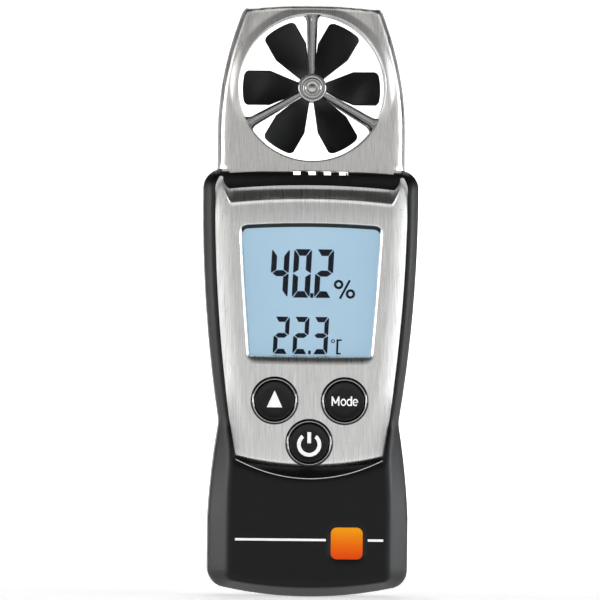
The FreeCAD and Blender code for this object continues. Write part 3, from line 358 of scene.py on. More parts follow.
MATERIALS = {
    "housing_plastic": soft_plastic("black_soft_plastic", (0.0035, 0.0035, 0.0035), 0.36,
                                    edge_radius=2.4, specular=0.30),
    "door_plastic": soft_plastic("black_door_plastic", (0.008, 0.008, 0.0085), 0.42, specular=0.32),
    "grille_plastic": soft_plastic("black_grille_plastic", (0.018, 0.018, 0.018), 0.45),
    "vane_plastic": plain("black_vane_plastic", (0.012, 0.012, 0.013), 0.42),
    "duct_plastic": plain("grey_duct_plastic", (0.30, 0.30, 0.31), 0.4),
    "brushed_plate": brushed_metal("brushed_plate_metal", (0.97, 0.955, 0.92)),
    "brushed_head": brushed_metal("brushed_head_metal", (0.82, 0.805, 0.78), grain=0.16),
    "bridge_metal": plain("bridge_aluminium", (0.60, 0.60, 0.59), 0.13, metallic=1.0, scale=2500.0),
    "steel": plain("screw_steel", (0.50, 0.50, 0.52), 0.3, metallic=1.0),
    "jewel": plain("ruby_jewel", (0.42, 0.05, 0.09), 0.1),
    "magnet": plain("magnet_nickel", (0.20, 0.20, 0.21), 0.3, metallic=1.0),
    "copper_coil": plain("enamelled_copper", (0.55, 0.25, 0.10), 0.3, metallic=1.0),
    "lead_sleeve": plain("red_lead_sleeve", (0.30, 0.02, 0.02), 0.5),
    "button_cap": plain("key_cap_plastic", (0.006, 0.006, 0.0065), 0.26,
                        Specular_IOR_Level=0.35),
    "button_ring": plain("black_chrome", (0.05, 0.05, 0.052), 0.08, metallic=1.0),
    "switch_plastic": plain("switch_body_plastic", (0.03, 0.03, 0.03), 0.3),
    "switch_plunger": plain("switch_plunger_plastic", (0.70, 0.66, 0.56), 0.4),
    "display_glass": lit_display(),
    "clear_window": clear_window(),
    "light_guide": plain("milky_light_guide", (0.80, 0.83, 0.86), 0.3),
    "elastomer": plain("zebra_elastomer", (0.50, 0.46, 0.50), 0.6),
    "holder_plastic": plain("grey_holder_plastic", (0.62, 0.62, 0.61), 0.5),
    "board": plain("green_solder_mask", (0.012, 0.11, 0.045), 0.3),
    "sensor_polymer": plain("white_sensor_polymer", (0.75, 0.75, 0.72), 0.5),
    "bead_epoxy": plain("dipped_epoxy", (0.05, 0.045, 0.04), 0.25),
    "ribbon_film": plain("amber_ribbon_film", (0.45, 0.22, 0.04), 0.3),
    "cell_jacket": plain("blue_cell_jacket", (0.06, 0.11, 0.28), 0.3),
    "contact_nickel": plain("contact_nickel_plate", (0.66, 0.63, 0.58), 0.25, metallic=1.0),
    "badge_enamel": badge_enamel(),
}
PRINT_WHITE_PAINTED_GLOW = glowing_white_print()
SEGMENT_INK = plain("display_segment", (0.003, 0.005, 0.016), 0.7, Specular_IOR_Level=0.05)
BEAD_CHROME = plain("polished_bead", (0.46, 0.46, 0.47), 0.10, metallic=1.0)
# A dark sheet behind the display's lip. Where the lip ends well out, mostly along the top, it is in
# view as painted shade in the recess.
BORDER_PAINTED_SHADE = plain("window_border_painted_shade", (0.010, 0.010, 0.011), 0.45)

for subpart in frame["record"]["subparts"]:
    holder = NODES[subpart["node"]]
    holder.data.materials.clear()
    holder.data.materials.append(MATERIALS[subpart["material_slot"]])


# ---------------------------------------------------------------- keys

KEYS = ("up", "mode", "power")
CAP_RADIUS = 4.25
RING_BORE = 4.37
RING_NECK = 4.85
RING_RADIUS = 5.15


def key_centre(name):
    """The (x, z) of a key's axis."""
    low, high = corners_of(f"{name}_button_ring")
    return (low.x + high.x) / 2, (low.z + high.z) / 2


def key_ring(name):
    """A black ring with a rounded lip over the plate, and a polished bead round the key."""
    low, high = corners_of(f"{name}_button_ring")
    seat = PLATE_FRONT
    crest = low.y
    profile = [(RING_BORE, high.y), (RING_BORE, crest + 0.62), (4.42, crest + 0.30),
               (4.76, crest + 0.22), (4.88, crest + 0.14), (5.02, crest + 0.16),
               (5.11, crest + 0.24), (RING_RADIUS, seat - 0.005), (RING_RADIUS, seat),
               (RING_NECK, seat), (RING_NECK, high.y)]
    points, faces = closed_lathe(profile, key_centre(name))
    ring = mesh_piece(f"{name}_key_ring", points, faces, MATERIALS["button_ring"], "root",
                      smooth_angle=40)
    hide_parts(f"{name}_button_ring")
    bead_reach = 4.62
    bead_radius = 0.18
    bead = [(reach, crest + bead_radius - rise)
            for reach, rise in arc((bead_reach, 0.0), bead_radius, 360, 0, 24)[:-1]]
    points, faces = closed_lathe(bead, key_centre(name))
    mesh_piece(f"{name}_key_bead", points, faces, BEAD_CHROME, "root",
               smooth_angle=60)


def key_cap(name):
    """A key with a rounded edge and a slightly dished top; gives the depth of the dish."""
    low, high = corners_of(f"{name}_button")
    crest = low.y
    edge = 0.32
    dish = 0.14
    dish_rate = 2.6  # the dish is at its full depth well before the middle
    dish_steps = 8
    flange_radius = (high.x - low.x) / 2
    flange_top = high.y - 0.6
    profile = [(0.0, high.y), (flange_radius, high.y), (flange_radius, flange_top),
               (CAP_RADIUS, flange_top)]
    rim = CAP_RADIUS - edge
    profile += [(reach, crest + edge - rise) for reach, rise in arc((rim, 0.0), edge, 0, 90, 8)]
    for step in range(1, dish_steps + 1):
        radius = rim * (1 - step / dish_steps)
        sink = dish * (1 - (radius / rim) ** 2)
        profile.append((radius, crest + min(sink * dish_rate, dish)))
    points, faces = lathe(profile, key_centre(name))
    cap = mesh_piece(f"{name}_key_cap", points, faces, MATERIALS["button_cap"], f"{name}_key",
                     smooth_angle=50)
    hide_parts(f"{name}_button")
    return crest + dish


def legend(name, key, outlines, face):
    """Printed shapes on a key's face, riding with the key.

    Each shape stands a little prouder than the last, so that overlapping strokes share no face.
    """
    across, up = key_centre(key)
    lift_step = 0.0015
    parts = []
    for index, outline in enumerate(outlines):
        placed = [(across + x, up + z) for x, z in outline]
        parts.append(prism(placed, face - PRINT - index * lift_step, face + PRINT))
    points, faces = joined(parts)
    mesh_piece(name, points, faces, PRINT_WHITE_PAINTED_GLOW, f"{key}_key")


def stroke(start, end, width):
    """A straight bar between two points."""
    along = Vector((end[0] - start[0], end[1] - start[1])).normalized()
    side = Vector((-along.y, along.x)) * width / 2
    return [(start[0] - side.x, start[1] - side.y), (end[0] - side.x, end[1] - side.y),
            (end[0] + side.x, end[1] + side.y), (start[0] + side.x, start[1] + side.y)]


def ring_outline(centre, radius, width, start, end, steps=40):
    """A stretch of ring between two angles."""
    outer = arc(centre, radius, start, end, steps)
    inner = arc(centre, radius - width, end, start, steps)
    return outer + inner


def narrowed(outline, centre, share):
    """An outline squeezed sideways about a centre."""
    return [(centre + (x - centre) * share, z) for x, z in outline]


def word_mode():
    """The word Mode in bold strokes, as outlines about the key's centre."""
    weight = 0.31
    base, cap_height, small_height = -1.00, 1.00, 0.50
    middle = (base + small_height) / 2
    tall = (small_height - base) / 2 + 0.04
    left_post, right_post, stem = -2.64, -1.26, 1.45
    valley = (-1.95, base + 0.50)
    shoulder = cap_height - 0.10

    def bowl(across, end):
        return narrowed(ring_outline((across, middle), tall, weight, 0, end, 28), across, 0.76)

    return [
        stroke((left_post, base), (left_post, cap_height), weight),
        stroke((right_post, base), (right_post, cap_height), weight),
        stroke((left_post, shoulder), valley, weight * 0.9),
        stroke(valley, (right_post, shoulder), weight * 0.9),
        bowl(-0.26, 360),
        bowl(1.00, 360),
        stroke((stem, base), (stem, cap_height + 0.05), weight),
        bowl(2.30, 310),
        stroke((1.85, middle), (2.76, middle), weight * 0.62),
    ]


faces_of_keys = {}
for key_name in KEYS:
    key_ring(key_name)
    faces_of_keys[key_name] = key_cap(key_name)

legend("up_triangle", "up", [[(-1.65, -1.45), (1.65, -1.45), (0.0, 2.15)]], faces_of_keys["up"])
legend("mode_word", "mode", word_mode(), faces_of_keys["mode"])
legend("power_symbol", "power",
       [ring_outline((0.0, -0.35), 2.6, 0.8, 128, 412), stroke((0.0, -0.05), (0.0, 2.3), 0.8)],
       faces_of_keys["power"])


# ---------------------------------------------------------------- display

def slanted(outline, base):
    """Leans an outline to the right above a base height."""
    lean = 0.045
    return [(x + (z - base) * lean, z) for x, z in outline]


def segment_outlines(width, height, thick):
    """The seven segments of a digit, from its lower left corner, named a to g."""
    gap = 0.11
    side = thick * 0.82
    middle = height / 2
    half = thick * 0.46
    near, far = side + 0.05, width - side - 0.05
    flat = [(0.30, 0.0), (width - 0.30, 0.0), (far, thick), (near, thick)]
    top = [(x, height - z) for x, z in flat]
    bar = [(0.32, middle), (near, middle + half), (far, middle + half),
           (width - 0.32, middle), (far, middle - half), (near, middle - half)]
    upper = [(0.0, middle + 0.22), (0.16, middle + 0.10), (side, middle + half + gap),
             (side, height - thick - gap), (0.16, height - gap * 1.5),
             (0.0, height - thick * 0.35)]
    lower = [(x, height - z) for x, z in upper]

    def flipped(outline):
        return [(width - x, z) for x, z in outline]

    return {"a": top, "b": flipped(upper), "c": flipped(lower), "d": flat, "e": lower,
            "f": upper, "g": bar}


# The segments that each digit lights.
LIT = {"0": "abcdef", "2": "abged", "3": "abgcd", "4": "fgbc"}


def digits(name, text, face, left, base, width, height, pitch, thick):
    """A row of lit segments, with points between digits where the text has them."""
    parts = []
    outlines = segment_outlines(width, height, thick)
    place = left
    for mark in text:
        if mark == ".":
            near = place - pitch + width + 0.12
            far = near + thick * 0.5
            top = base + thick * 0.7
            dot = [(near, base), (far, base), (far, top), (near, top)]
            parts.append(prism(dot, face - PRINT, face))
            continue
        for segment in LIT[mark]:
            outline = [(place + x, base + z) for x, z in outlines[segment]]
            parts.append(prism(slanted(outline, base), face - PRINT, face))
        place += pitch
    points, faces = joined(parts)
    mesh_piece(name, points, faces, SEGMENT_INK)


def display_marks():
    """The two readings and their units, on the front of the lit panel."""
    face = corners_of("lcd_panel")[0].y
    digits("humidity_digits", "40.2", face, left=-8.75, base=64.05, width=3.85, height=10.4,
           pitch=4.75, thick=1.42)
    digits("temperature_digits", "22.3", face, left=-7.95, base=51.95, width=3.3, height=8.0,
           pitch=4.2, thick=1.12)
    percent = [ring_outline((6.05, 66.95), 1.02, 0.55, 0, 360),
               ring_outline((8.6, 64.95), 1.02, 0.55, 0, 360),
               stroke((6.35, 63.9), (8.45, 67.9), 0.48)]
    degree = [ring_outline((4.95, 54.8), 0.42, 0.2, 0, 360, 24),
              stroke((5.85, 51.95), (5.95, 55.2), 0.44),
              stroke((5.7, 55.03), (6.85, 55.03), 0.36),
              stroke((5.9, 52.13), (6.65, 52.13), 0.36)]
    for name, outlines in (("percent_mark", percent), ("degree_mark", degree)):
        points, faces = joined([prism(outline, face - PRINT, face) for outline in outlines])
        mesh_piece(name, points, faces, SEGMENT_INK)


display_marks()


# ---------------------------------------------------------------- print on the base

def base_print():
    """The white rule on the base, broken round the badge."""
    face = corners_of("front_badge")[0].y
    foot, top = 12.05, 12.55
    parts = []
    for left, right in ((-15.7, 3.7), (12.7, 16.0)):
        parts.append(prism([(left, foot), (right, foot), (right, top), (left, top)],
                           face - PRINT, face + PRINT))
    points, faces = joined(parts)
    mesh_piece("base_rule", points, faces, PRINT_WHITE_PAINTED_GLOW)


base_print()


# ---------------------------------------------------------------- vane bridge

impeller_low, impeller_high = corners_of("impeller")
VANE_HEIGHT = (impeller_low.z + impeller_high.z) / 2


def spoke_mesh(angle, front, rear, hub_reach, rim_reach):
    """A tapering spoke with a groove down its middle and a flare where it meets the rim."""
    thickness = rear - front
    section = ((-1.0, 0.80), (-0.66, 0.22), (-0.50, 0.0), (-0.34, 0.0), (-0.20, 0.28),
               (0.20, 0.28), (0.34, 0.0), (0.50, 0.0), (0.66, 0.22), (1.0, 0.80),
               (1.0, thickness), (-1.0, thickness))
    hub_half, rim_half, flare = 0.65, 1.05, 1.1
    flare_steps = 8
    neck = rim_reach - 1.9
    stations = [(hub_reach, hub_half), (neck, rim_half)]
    for step in range(1, flare_steps + 1):
        turn = math.radians(90 * step / flare_steps)
        stations.append((neck + 1.6 * math.sin(turn), rim_half + flare * (1 - math.cos(turn))))
    stations.append((rim_reach, stations[-1][1]))
    ray = (math.cos(math.radians(angle)), math.sin(math.radians(angle)))
    points = []
    for reach, half in stations:
        for share, sink in section:
            aside = share * half
            points.append((ray[0] * reach - ray[1] * aside, front + sink,
                           VANE_HEIGHT + ray[1] * reach + ray[0] * aside))
    count = len(section)
    faces = [tuple(range(count)), tuple(reversed(range(len(points) - count, len(points))))]
    for row in range(len(stations) - 1):
        start = row * count
        for place in range(count):
            following = (place + 1) % count
            faces.append((start + place, start + count + place,
                          start + count + following, start + following))
    return points, faces


def bridge(node, front, rear, sign):
    """A bearing bridge with a ringed hub; sign is 1 on the front, -1 on the rear."""
    centre = (0.0, VANE_HEIGHT)
    rim_radius = 16.48
    rim = [(DUCT, rear), (rim_radius, rear), (rim_radius, front + 0.1), (16.38, front),
           (15.98, front), (DUCT, front + 0.28)]
    hub_radius = 3.05
    rings = [(hub_radius, 0.30), (2.93, 0.10), (2.78, 0.0), (2.62, 0.0), (2.46, 0.30),
             (2.22, 0.34), (2.06, 0.05), (1.92, 0.0), (1.74, 0.16), (1.52, 0.16),
             (1.36, 0.02), (1.22, 0.02), (1.06, 0.08), (0.62, 0.08), (0.50, 0.0),
             (0.34, -0.04), (0.0, -0.04)]
    hub = [(0.0, rear), (hub_radius, rear)] + [(radius, front + sink) for radius, sink in rings]
    parts = [closed_lathe(rim, centre, 128), lathe(hub, centre, 64)]
    for angle in (90, 210, 330):
        parts.append(spoke_mesh(angle, front + 0.12, rear, hub_reach=2.6, rim_reach=15.95))
    points, faces = joined(parts)
    if sign < 0:
        points, faces = mirrored(points, faces)
    piece = mesh_piece(f"{node}_turned", points, faces, MATERIALS["bridge_metal"], "root",
                       smooth_angle=35)
    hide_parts(node)


spider_low, spider_high = corners_of("front_spider")
bridge("front_spider", spider_low.y, spider_high.y, 1)
bridge("rear_spider", spider_low.y, spider_high.y, -1)


# ---------------------------------------------------------------- faceplate

# Corners of the plate's outline, as (half width, height).
PLATE_FOOT = (15.62, 29.38)
PLATE_WAIST = (17.07, 37.6)
PLATE_SHOULDER = (20.62, 84.0)
EAR_TOP = (19.7, 89.9)
# Heights where the straight sides end, and where the brow starts to lean back.
PLATE_SIDE_TOP = 86.9
PLATE_BROW = 80.5
# How far across an ear starts to rise and is at its highest.
EAR_FOOT = 17.6
EAR_TIP = 19.5
# The openings for the keys, the reach of a cutter past the plate, and the display lip's width.
KEY_OPENING = 4.95
CUT_MARGIN = 1.0
VIEW_LIP = 1.1


def plate_half(up):
    """Half the faceplate's width at a height."""
    if up < PLATE_WAIST[1]:
        share = (up - PLATE_FOOT[1]) / (PLATE_WAIST[1] - PLATE_FOOT[1])
        return PLATE_FOOT[0] + (PLATE_WAIST[0] - PLATE_FOOT[0]) * share
    if up < PLATE_SHOULDER[1]:
        share = (up - PLATE_WAIST[1]) / (PLATE_SHOULDER[1] - PLATE_WAIST[1])
        return bulge(PLATE_WAIST[0], PLATE_SHOULDER[0], share, 0.75)
    if up < PLATE_SIDE_TOP:
        return PLATE_SHOULDER[0]
    share = (up - PLATE_SIDE_TOP) / (EAR_TOP[1] - PLATE_SIDE_TOP)
    return bulge(PLATE_SHOULDER[0], EAR_TOP[0], share, 0.25)


def plate_low(across):
    """The foot's edge, bowed down in the middle."""
    return PLATE_FOOT[1] - 1.6 * (1 - (across / PLATE_FOOT[0]) ** 2)


def plate_ridge(across):
    """The line where the scoop at the top starts; it rises at the ears."""
    return 85.35 - 0.95 * (across / 17.0) ** 2 + 4.0 * smooth_step(abs(across), 17.0, 19.6)


def plate_arch(across):
    """The top edge without its ears."""
    return 88.12 - 1.2 * (across / PLATE_SHOULDER[0]) ** 2


def plate_high(across):
    """The top edge, with an ear at each side that stands up beside the neck."""
    arch = plate_arch(across)
    share = min(max((abs(across) - EAR_FOOT) / (EAR_TIP - EAR_FOOT), 0.0), 1.0)
    return arch + (EAR_TOP[1] - arch) * share ** 1.4


def plate_depth(across, up):
    """The faceplate's front: flat, with rolled sides, a scooped top and a turned-down foot."""
    depth = PLATE_FRONT
    roll_width = 3.5
    roll = 1 - (plate_half(up) - abs(across)) / roll_width
    if roll > 0:
        depth += (0.15 + 1.05 * smooth_step(up, 29.0, 46.0)) * roll ** 1.25
    if up > PLATE_BROW:
        depth += 0.20 * ((up - PLATE_BROW) / 4.5) ** 2
    ridge = plate_ridge(across)
    fade = 1 - smooth_step(abs(across), 16.2, 19.0)
    bead = math.exp(-((up - ridge + 0.15) / 0.42) ** 2)
    depth -= 0.14 * bead * fade
    if up > ridge:
        share = min((up - ridge) / (plate_arch(across) - ridge), 1.0)
        depth += 1.12 * math.sin(share * math.pi / 2) * fade
    turned_foot = 1 - (up - plate_low(across)) / 1.1
    if turned_foot > 0:
        depth += 0.75 * turned_foot * turned_foot
    return min(depth, PLATE_BACK - 0.12)


def plate_columns():
    """Column places from -1 to 1, closer together in the rolled sides."""
    steps = 14
    flat = 0.80
    places = [side / steps * flat for side in range(steps + 1)]
    places += [flat + 0.20 * step / steps for step in range(1, steps + 1)]
    return [-place for place in reversed(places[1:])] + places


def plate_rows():
    """(lower curve, upper curve, shares) for the bands of rows."""
    def above_foot(across):
        return plate_low(across) + 1.2

    def below_ridge(across):
        return plate_ridge(across) - 1.1

    def above_ridge(across):
        return plate_ridge(across) + 0.3

    return [(plate_low, above_foot, [step / 5 for step in range(5)]),
            (above_foot, below_ridge, [step / 44 for step in range(44)]),
            (below_ridge, above_ridge, [step / 10 for step in range(10)]),
            (above_ridge, plate_high, [step / 12 for step in range(13)])]


def sheet_solid(rows, back):
    """A closed solid: a grid of front points, with a flat back at a depth."""
    height = len(rows)
    width = len(rows[0])
    points = [point for row in rows for point in row]
    points += [(x, back, z) for row in rows for x, _, z in row]
    rear = height * width
    faces = []
    for row in range(height - 1):
        for column in range(width - 1):
            corner = row * width + column
            face = (corner, corner + 1, corner + width + 1, corner + width)
            faces.append(face)
            faces.append(tuple(rear + index for index in reversed(face)))
    border = list(range(width)) + [row * width + width - 1 for row in range(1, height)]
    border += [(height - 1) * width + column for column in reversed(range(width - 1))]
    border += [row * width for row in reversed(range(1, height - 1))]
    for place, index in enumerate(border):
        following = border[(place + 1) % len(border)]
        faces.append((following, index, rear + index, rear + following))
    return points, faces


def bowed(start, end, sagitta, steps):
    """Points of a shallow arc that bulges to the right of its direction."""
    first = Vector(start)
    last = Vector(end)
    side = Vector((last.y - first.y, first.x - last.x)).normalized()
    points = []
    for step in range(steps):
        share = step / steps
        place = first.lerp(last, share) + side * sagitta * 4 * share * (1 - share)
        points.append((place.x, place.y))
    return points


def view_outline():
    """The display opening, counter-clockwise from its lower right corner."""
    right = [(11.4, 50.9), (12.8, 52.3), (14.6, 77.6), (13.4, 78.7)]
    left = [(-x, z) for x, z in reversed(right)]
    corners = right + left
    bends = (0.45, 0.1, 0.35, 0.45, 0.35, 0.1, 0.45, 0.1)
    counts = (8, 24, 8, 24, 8, 24, 8, 16)
    points = []
    for index, corner in enumerate(corners):
        points += bowed(corner, corners[(index + 1) % len(corners)], bends[index], counts[index])
    return points


def outward(points):
    """The outward direction at each point of a counter-clockwise outline."""
    directions = []
    count = len(points)
    for index in range(count):
        before = Vector(points[index - 1])
        after = Vector(points[(index + 1) % count])
        along = (after - before).normalized()
        directions.append((along.y, -along.x))
    return directions


def lip_floor(dx, dz):
    """How far outside the opening's line the lip ends: well out above, which leaves the dark border
    behind it in view as painted shade along the top, and inside it below.
    """
    return (0.85 * smooth_step(dz, 0.2, 0.8) + 0.10 * smooth_step(-dx, 0.3, 0.9)
            - 0.85 * smooth_step(-dz, 0.3, 0.9))


def lip_section(dx, dz):
    """The lip's section where it faces a direction: a quarter round down to the plate's back."""
    inner = lip_floor(dx, dz)
    reach = VIEW_LIP - inner
    fall = min(1.45, reach * 1.3)
    turns = [math.radians(turn) for turn in range(0, 91, 9)]
    section = [(inner + reach * (1 - math.sin(turn)), PLATE_FRONT + fall * (1 - math.cos(turn)))
               for turn in turns]
    return section + [(inner, PLATE_BACK), (VIEW_LIP, PLATE_BACK)]


def swept_ring(outline, section):
    """A ring with a closed section, (offset, depth), carried round an outline."""
    directions = outward(outline)
    points = []
    for (x, z), (dx, dz) in zip(outline, directions):
        profile = section(dx, dz)
        for offset, depth in profile:
            points.append((x + dx * offset, depth, z + dz * offset))
    count = len(profile)
    total = len(outline)
    faces = []
    for index in range(total):
        following = (index + 1) % total
        for place in range(count):
            beside = (place + 1) % count
            faces.append((index * count + place, index * count + beside,
                          following * count + beside, following * count + place))
    return points, faces


def cut_away(piece, cutters):
    """Cuts closed shapes out of a piece and leaves a plain mesh."""
    for number, (points, faces) in enumerate(cutters):
        cutter = new_object("cutter", points, faces)
        cut = piece.modifiers.new(f"cut_{number}", "BOOLEAN")
        cut.operation = "DIFFERENCE"
        cut.solver = "EXACT"
        cut.object = cutter
        bpy.context.view_layer.update()
        graph = bpy.context.evaluated_depsgraph_get()
        result = bpy.data.meshes.new_from_object(piece.evaluated_get(graph))
        piece.modifiers.clear()
        piece.data = result
        bpy.data.objects.remove(cutter)


def plate_grid():
    """Rows of points on the faceplate's front.

    The plate's width at a point depends on its height, and its height on how far across it is,
    so both are found in a few rounds that start from the middle of the plate.
    """
    middle = 60.0
    rounds = 6
    rows = []
    for lower, upper, shares in plate_rows():
        for share in shares:
            row = []
            for place in plate_columns():
                up = middle
                for _ in range(rounds):
                    across = place * plate_half(up)
                    up = lower(across) + (upper(across) - lower(across)) * share
                across = place * plate_half(up)
                row.append((across, plate_depth(across, up), up))
            rows.append(row)
    return rows


def plate_piece(name, points, faces, smooth_angle=None):
    """A piece of the faceplate's brushed metal."""
    return mesh_piece(name, points, faces, MATERIALS["brushed_plate"], "root",
                      smooth_angle)


def foot_rim():
    """The bright line round the edge of the base's recess, below the plate."""
    reach = PLATE_FOOT[0] + 0.1
    foot = 29.3
    line = bowed((-reach, foot), (reach, foot), sagitta=4.0, steps=48)
    line.append((reach, foot))
    inner_line = [(x * 0.997, z + 0.15) for x, z in reversed(line)]
    plate_piece("faceplate_foot_rim", *prism(line + inner_line, BASE_FACE - 0.02, BASE_FACE + 0.25))


def faceplate():
    """The plate with its openings, the display's lip with a dark border behind it that shows as
    painted shade along the top, and the rim at its foot.
    """
    plate = plate_piece("faceplate_sheet", *sheet_solid(plate_grid(), PLATE_BACK))
    opening = view_outline()
    wide = [(x + dx * VIEW_LIP, z + dz * VIEW_LIP)
            for (x, z), (dx, dz) in zip(opening, outward(opening))]
    front, rear = PLATE_FRONT - CUT_MARGIN, PLATE_BACK + CUT_MARGIN
    cutters = [prism(wide, front, rear)]
    cutters += [disc_prism(key_centre(key), KEY_OPENING, front, rear, steps=64) for key in KEYS]
    cut_away(plate, cutters)
    set_edges(plate, 32)
    plate_piece("view_lip", *swept_ring(opening, lip_section), smooth_angle=40)
    # The dark border behind the lip, seen mostly along the top of the opening as painted shade.
    border_front, border_rear = PLATE_BACK + 0.03, PLATE_BACK + 0.06
    border = [(0.05, border_front), (VIEW_LIP, border_front),
              (VIEW_LIP, border_rear), (0.05, border_rear)]
    points, faces = swept_ring(opening, lambda dx, dz: border)
    mesh_piece("window_border_painted_shade", points, faces, BORDER_PAINTED_SHADE, "root")
    foot_rim()
    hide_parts("faceplate")


faceplate()


# ---------------------------------------------------------------- measuring head

# The head's face, its heights, its half width, and its upper corner as (half width, height).
HEAD_FACE = -7.5
HEAD_FOOT = 91.3
HEAD_STRAIGHT = 98.0
HEAD_TOP = 127.4
HEAD_HALF = 20.1
HEAD_CORNER = (15.0, 125.4)
# Radii about the vane's axis, and the depth of the seat behind the bridge.
MOUTH = 17.6
LINER_SEAT = 16.52
SPIDER_SEAT = -6.02
# The screws on the rear, as (across, height).
HEAD_SCREWS = ((-16.4, 94.6), (16.4, 94.6))
# The part inside the case, and the sensor slot in it.
INSERT_FOOT = 85.0
INSERT_HALF = 19.2
SLOT = (-4.1, 8.05)
SLOT_SILL = 87.9


def head_half(up):
    """Half the head's width at a height."""
    if up < HEAD_STRAIGHT:
        return HEAD_HALF
    share = min((up - HEAD_STRAIGHT) / (HEAD_CORNER[1] - HEAD_STRAIGHT), 1.0)
    return bulge(HEAD_HALF, HEAD_CORNER[0], share, 1.38)


def head_high(across):
    """The top edge, a shallow arch with turned corners."""
    share = min(abs(across) / HEAD_CORNER[0], 1.0)
    arch = HEAD_TOP - 1.05 * share ** 2
    return arch - 0.95 * smooth_step(abs(across), 13.9, HEAD_CORNER[0]) ** 2


def head_depth(across, up):
    """The head's front: a flat face, sides that fall off, and a lip round the duct."""
    reach = math.hypot(across, up - VANE_HEIGHT)
    angle = math.degrees(math.atan2(up - VANE_HEIGHT, abs(across)))
    side_gap = head_half(up) - abs(across)
    top_gap = head_high(across) - up
    side = max(0.0, 1 - side_gap / 3.3)
    top = max(0.0, 1 - top_gap / 1.9)
    top_bead = math.exp(-((top_gap - 1.15) / 0.35) ** 2)
    edge = max(0.0, 1 - min(side_gap, top_gap) / 1.1)
    crest = max(0.0, 1 - (reach - DUCT) / (MOUTH - DUCT))
    bore_edge = max(0.0, 1 - (reach - DUCT) / 0.25)
    depth = HEAD_FACE
    depth += 1.15 * side ** 1.6 + 0.25 * top
    depth -= 0.16 * top_bead
    depth += 2.2 * edge ** 1.6
    depth -= 0.42 * smooth_step(angle, -30, -5) * crest
    depth += 0.25 * bore_edge ** 2
    return min(depth, HEAD_FACE + 3.4)


def head_border(angle):
    """Where a ray from the vane's centre leaves the head's outline, found by halving."""
    ray = (math.cos(angle), math.sin(angle))
    beyond = 30.0
    halvings = 40
    low, high = DUCT, beyond
    for _ in range(halvings):
        reach = (low + high) / 2
        across = ray[0] * reach
        up = VANE_HEIGHT + ray[1] * reach
        if HEAD_FOOT <= up <= head_high(across) and abs(across) <= head_half(up):
            low = reach
        else:
            high = reach
    return low


def head_angles():
    """Ray angles that include the outline's corners."""
    top = math.atan2(HEAD_CORNER[1] - 0.2 - VANE_HEIGHT, HEAD_CORNER[0])
    low = math.atan2(HEAD_FOOT - VANE_HEIGHT, HEAD_HALF)
    stops = [low, top, math.pi - top, math.pi - low, 2 * math.pi + low]
    counts = (56, 60, 56, 60)
    angles = []
    for start, end, count in zip(stops, stops[1:], counts):
        angles += [start + (end - start) * step / count for step in range(count)]
    return angles


def head_shell(sign):
    """Half the head: rings of points from the duct, over the face to the parting plane and back."""
    steps = 30
    angles = head_angles()
    borders = [head_border(angle) for angle in angles]
    rings = []
    for step in range(steps + 1):
        share = (1 - math.cos(math.pi * step / steps)) / 2
        ring = []
        for angle, border in zip(angles, borders):
            reach = DUCT + (border - DUCT) * share
            across = math.cos(angle) * reach
            up = VANE_HEIGHT + math.sin(angle) * reach
            ring.append((across, head_depth(across, up), up))
        rings.append(ring)
    rings.append([(x, 0.0, z) for x, _, z in rings[-1]])
    for radius, depth in ((LINER_SEAT, 0.0), (LINER_SEAT, SPIDER_SEAT), (DUCT, SPIDER_SEAT)):
        rings.append([(math.cos(angle) * radius, depth, VANE_HEIGHT + math.sin(angle) * radius)
                      for angle in angles])
    count = len(angles)
    points = [point for ring in rings for point in ring]
    faces = []
    for index in range(len(rings)):
        following = (index + 1) % len(rings)
        for place in range(count):
            beside = (place + 1) % count
            faces.append((index * count + place, following * count + place,
                          following * count + beside, index * count + beside))
    if sign < 0:
        return mirrored(points, faces)
    return points, faces


def head_insert(sign):
    """The foot of the head inside the case, with the slot that lets air to the sensors."""
    front, rear = (HEAD_FACE + 0.02, 0.0) if sign > 0 else (0.0, -HEAD_FACE - 0.02)
    top = HEAD_FOOT + 0.1
    parts = []
    for left, right, high in ((-INSERT_HALF, SLOT[0], top), (SLOT[1], INSERT_HALF, top),
                              (SLOT[0], SLOT[1], SLOT_SILL)):
        parts.append(prism([(left, INSERT_FOOT), (right, INSERT_FOOT), (right, high), (left, high)],
                           front, rear))
    return joined(parts)


def head_piece(name, points, faces):
    """A piece of the head's brushed metal."""
    return mesh_piece(name, points, faces, MATERIALS["brushed_head"], "root")


for head_side, head_sign in (("front", 1), ("rear", -1)):
    shell = head_piece(f"head_{head_side}_shield", *head_shell(head_sign))
    if head_sign < 0:
        cut_away(shell, [disc_prism(place, radius=1.5, front=5.9, rear=9.0)
                         for place in HEAD_SCREWS])
    set_edges(shell, 38)
    head_piece(f"head_{head_side}_insert", *head_insert(head_sign))
    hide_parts(f"head_{head_side}_frame")


# ---------------------------------------------------------------- stage, light and camera

def cyclorama():
    """A pale floor that curves up into a backdrop, in metres."""
    half_width = 0.55
    near = -2.4
    far = 1.2
    bend = 0.6
    steps = 16
    profile = [(near, 0.0), (far - bend, 0.0)]
    for step in range(1, steps + 1):
        turn = math.radians(90 * step / steps)
        profile.append((far - bend + bend * math.sin(turn), bend * (1 - math.cos(turn))))
    profile.append((far, 3.0))
    points = []
    for depth, up in profile:
        points.extend([(-half_width, depth, up), (half_width, depth, up)])
    faces = [(2 * row, 2 * row + 1, 2 * row + 3, 2 * row + 2) for row in range(len(profile) - 1)]
    white = Shader("stage_white", (0.92, 0.92, 0.92), 0.9, Emission_Strength=0.58)
    white.set("Emission Color", (1.0, 1.0, 1.0, 1.0))
    mesh = bpy.data.meshes.new("stage_sweep")
    mesh.from_pydata(points, [], faces)
    mesh.materials.append(white.material)
    mesh.shade_smooth()
    sweep = bpy.data.objects.new("stage_sweep", mesh)
    bpy.context.scene.collection.objects.link(sweep)


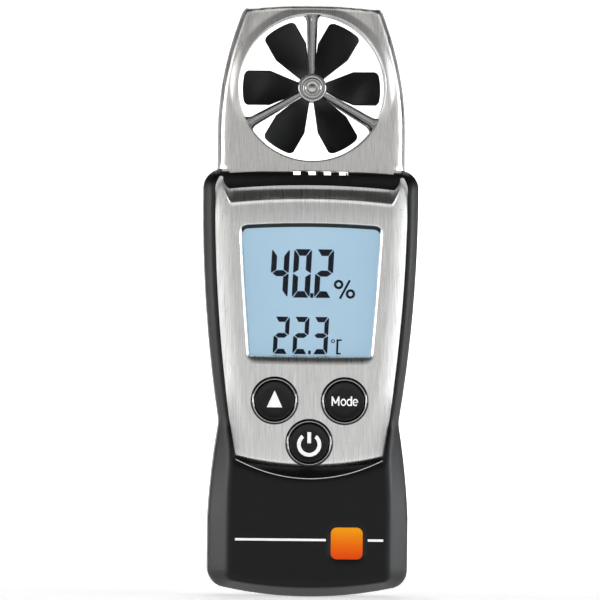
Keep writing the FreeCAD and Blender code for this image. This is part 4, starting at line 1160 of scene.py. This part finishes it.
def area_light(name, place, target, width, height, power, color=(1.0, 1.0, 1.0)):
    """A soft rectangular light aimed at a target, in metres and watts."""
    light = bpy.data.lights.new(name, "AREA")
    light.shape = "RECTANGLE"
    light.size = width
    light.size_y = height
    light.energy = power
    light.color = color
    holder = bpy.data.objects.new(name, light)
    bpy.context.scene.collection.objects.link(holder)
    holder.location = place
    holder.rotation_euler = (Vector(target) - Vector(place)).to_track_quat("-Z", "Y").to_euler()


cyclorama()
object_middle = (0.0, 0.0, 0.065)
area_light("left_softbox", (-0.80, -0.06, -0.10), object_middle, width=1.0, height=0.8, power=12.0)
area_light("right_softbox", (0.80, -0.06, -0.10), object_middle, width=1.0, height=0.8, power=15.0,
           color=(0.94, 0.97, 1.0))
area_light("back_wash", (0.0, 0.55, 0.95), (0.0, 1.2, 0.72), width=1.2, height=0.5, power=9.0)


def studio_sky():
    """An even grey room that is dark overhead and behind the object."""
    world = bpy.data.worlds.new("studio")
    world.use_nodes = True
    nodes = world.node_tree.nodes
    links = world.node_tree.links
    background = nodes["Background"]
    place = nodes.new("ShaderNodeTexCoord")
    split = nodes.new("ShaderNodeSeparateXYZ")
    height = map_range(nodes, -1.0, 1.0)
    behind = map_range(nodes, -0.15, 0.35, 1.0, 0.08)
    ramp = color_ramp(nodes, [(0.30, (0.46,) * 3), (0.52, (0.48,) * 3), (0.78, (0.03,) * 3)])
    links.new(place.outputs["Generated"], split.inputs["Vector"])
    links.new(split.outputs["Z"], height.inputs["Value"])
    links.new(height.outputs["Result"], ramp.inputs["Fac"])
    links.new(split.outputs["Y"], behind.inputs["Value"])
    links.new(ramp.outputs["Color"], background.inputs["Color"])
    links.new(behind.outputs["Result"], background.inputs["Strength"])
    bpy.context.scene.world = world


studio_sky()

bpy.context.scene.view_settings.view_transform = "Standard"


def photo_camera():
    """A level camera a little to the object's left and rolled a little, as in the photograph."""
    distance = 2.0
    turn = math.radians(1.5)
    roll = math.radians(0.6)
    view_width = 0.12903
    aim = Vector((-0.0020, 0.0, 0.06355))
    sight = Vector((math.sin(turn), math.cos(turn), 0.0))
    data = bpy.data.cameras.new("camera")
    data.sensor_width = 36.0
    data.lens = data.sensor_width * distance / view_width
    data.clip_start = 0.05
    camera = bpy.data.objects.new("camera", data)
    bpy.context.scene.collection.objects.link(camera)
    camera.location = aim - sight * distance
    look = sight.to_track_quat("-Z", "Y").to_matrix().to_4x4()
    camera.rotation_euler = (look @ Matrix.Rotation(roll, 4, "Z")).to_euler()
    bpy.context.scene.camera = camera


photo_camera()
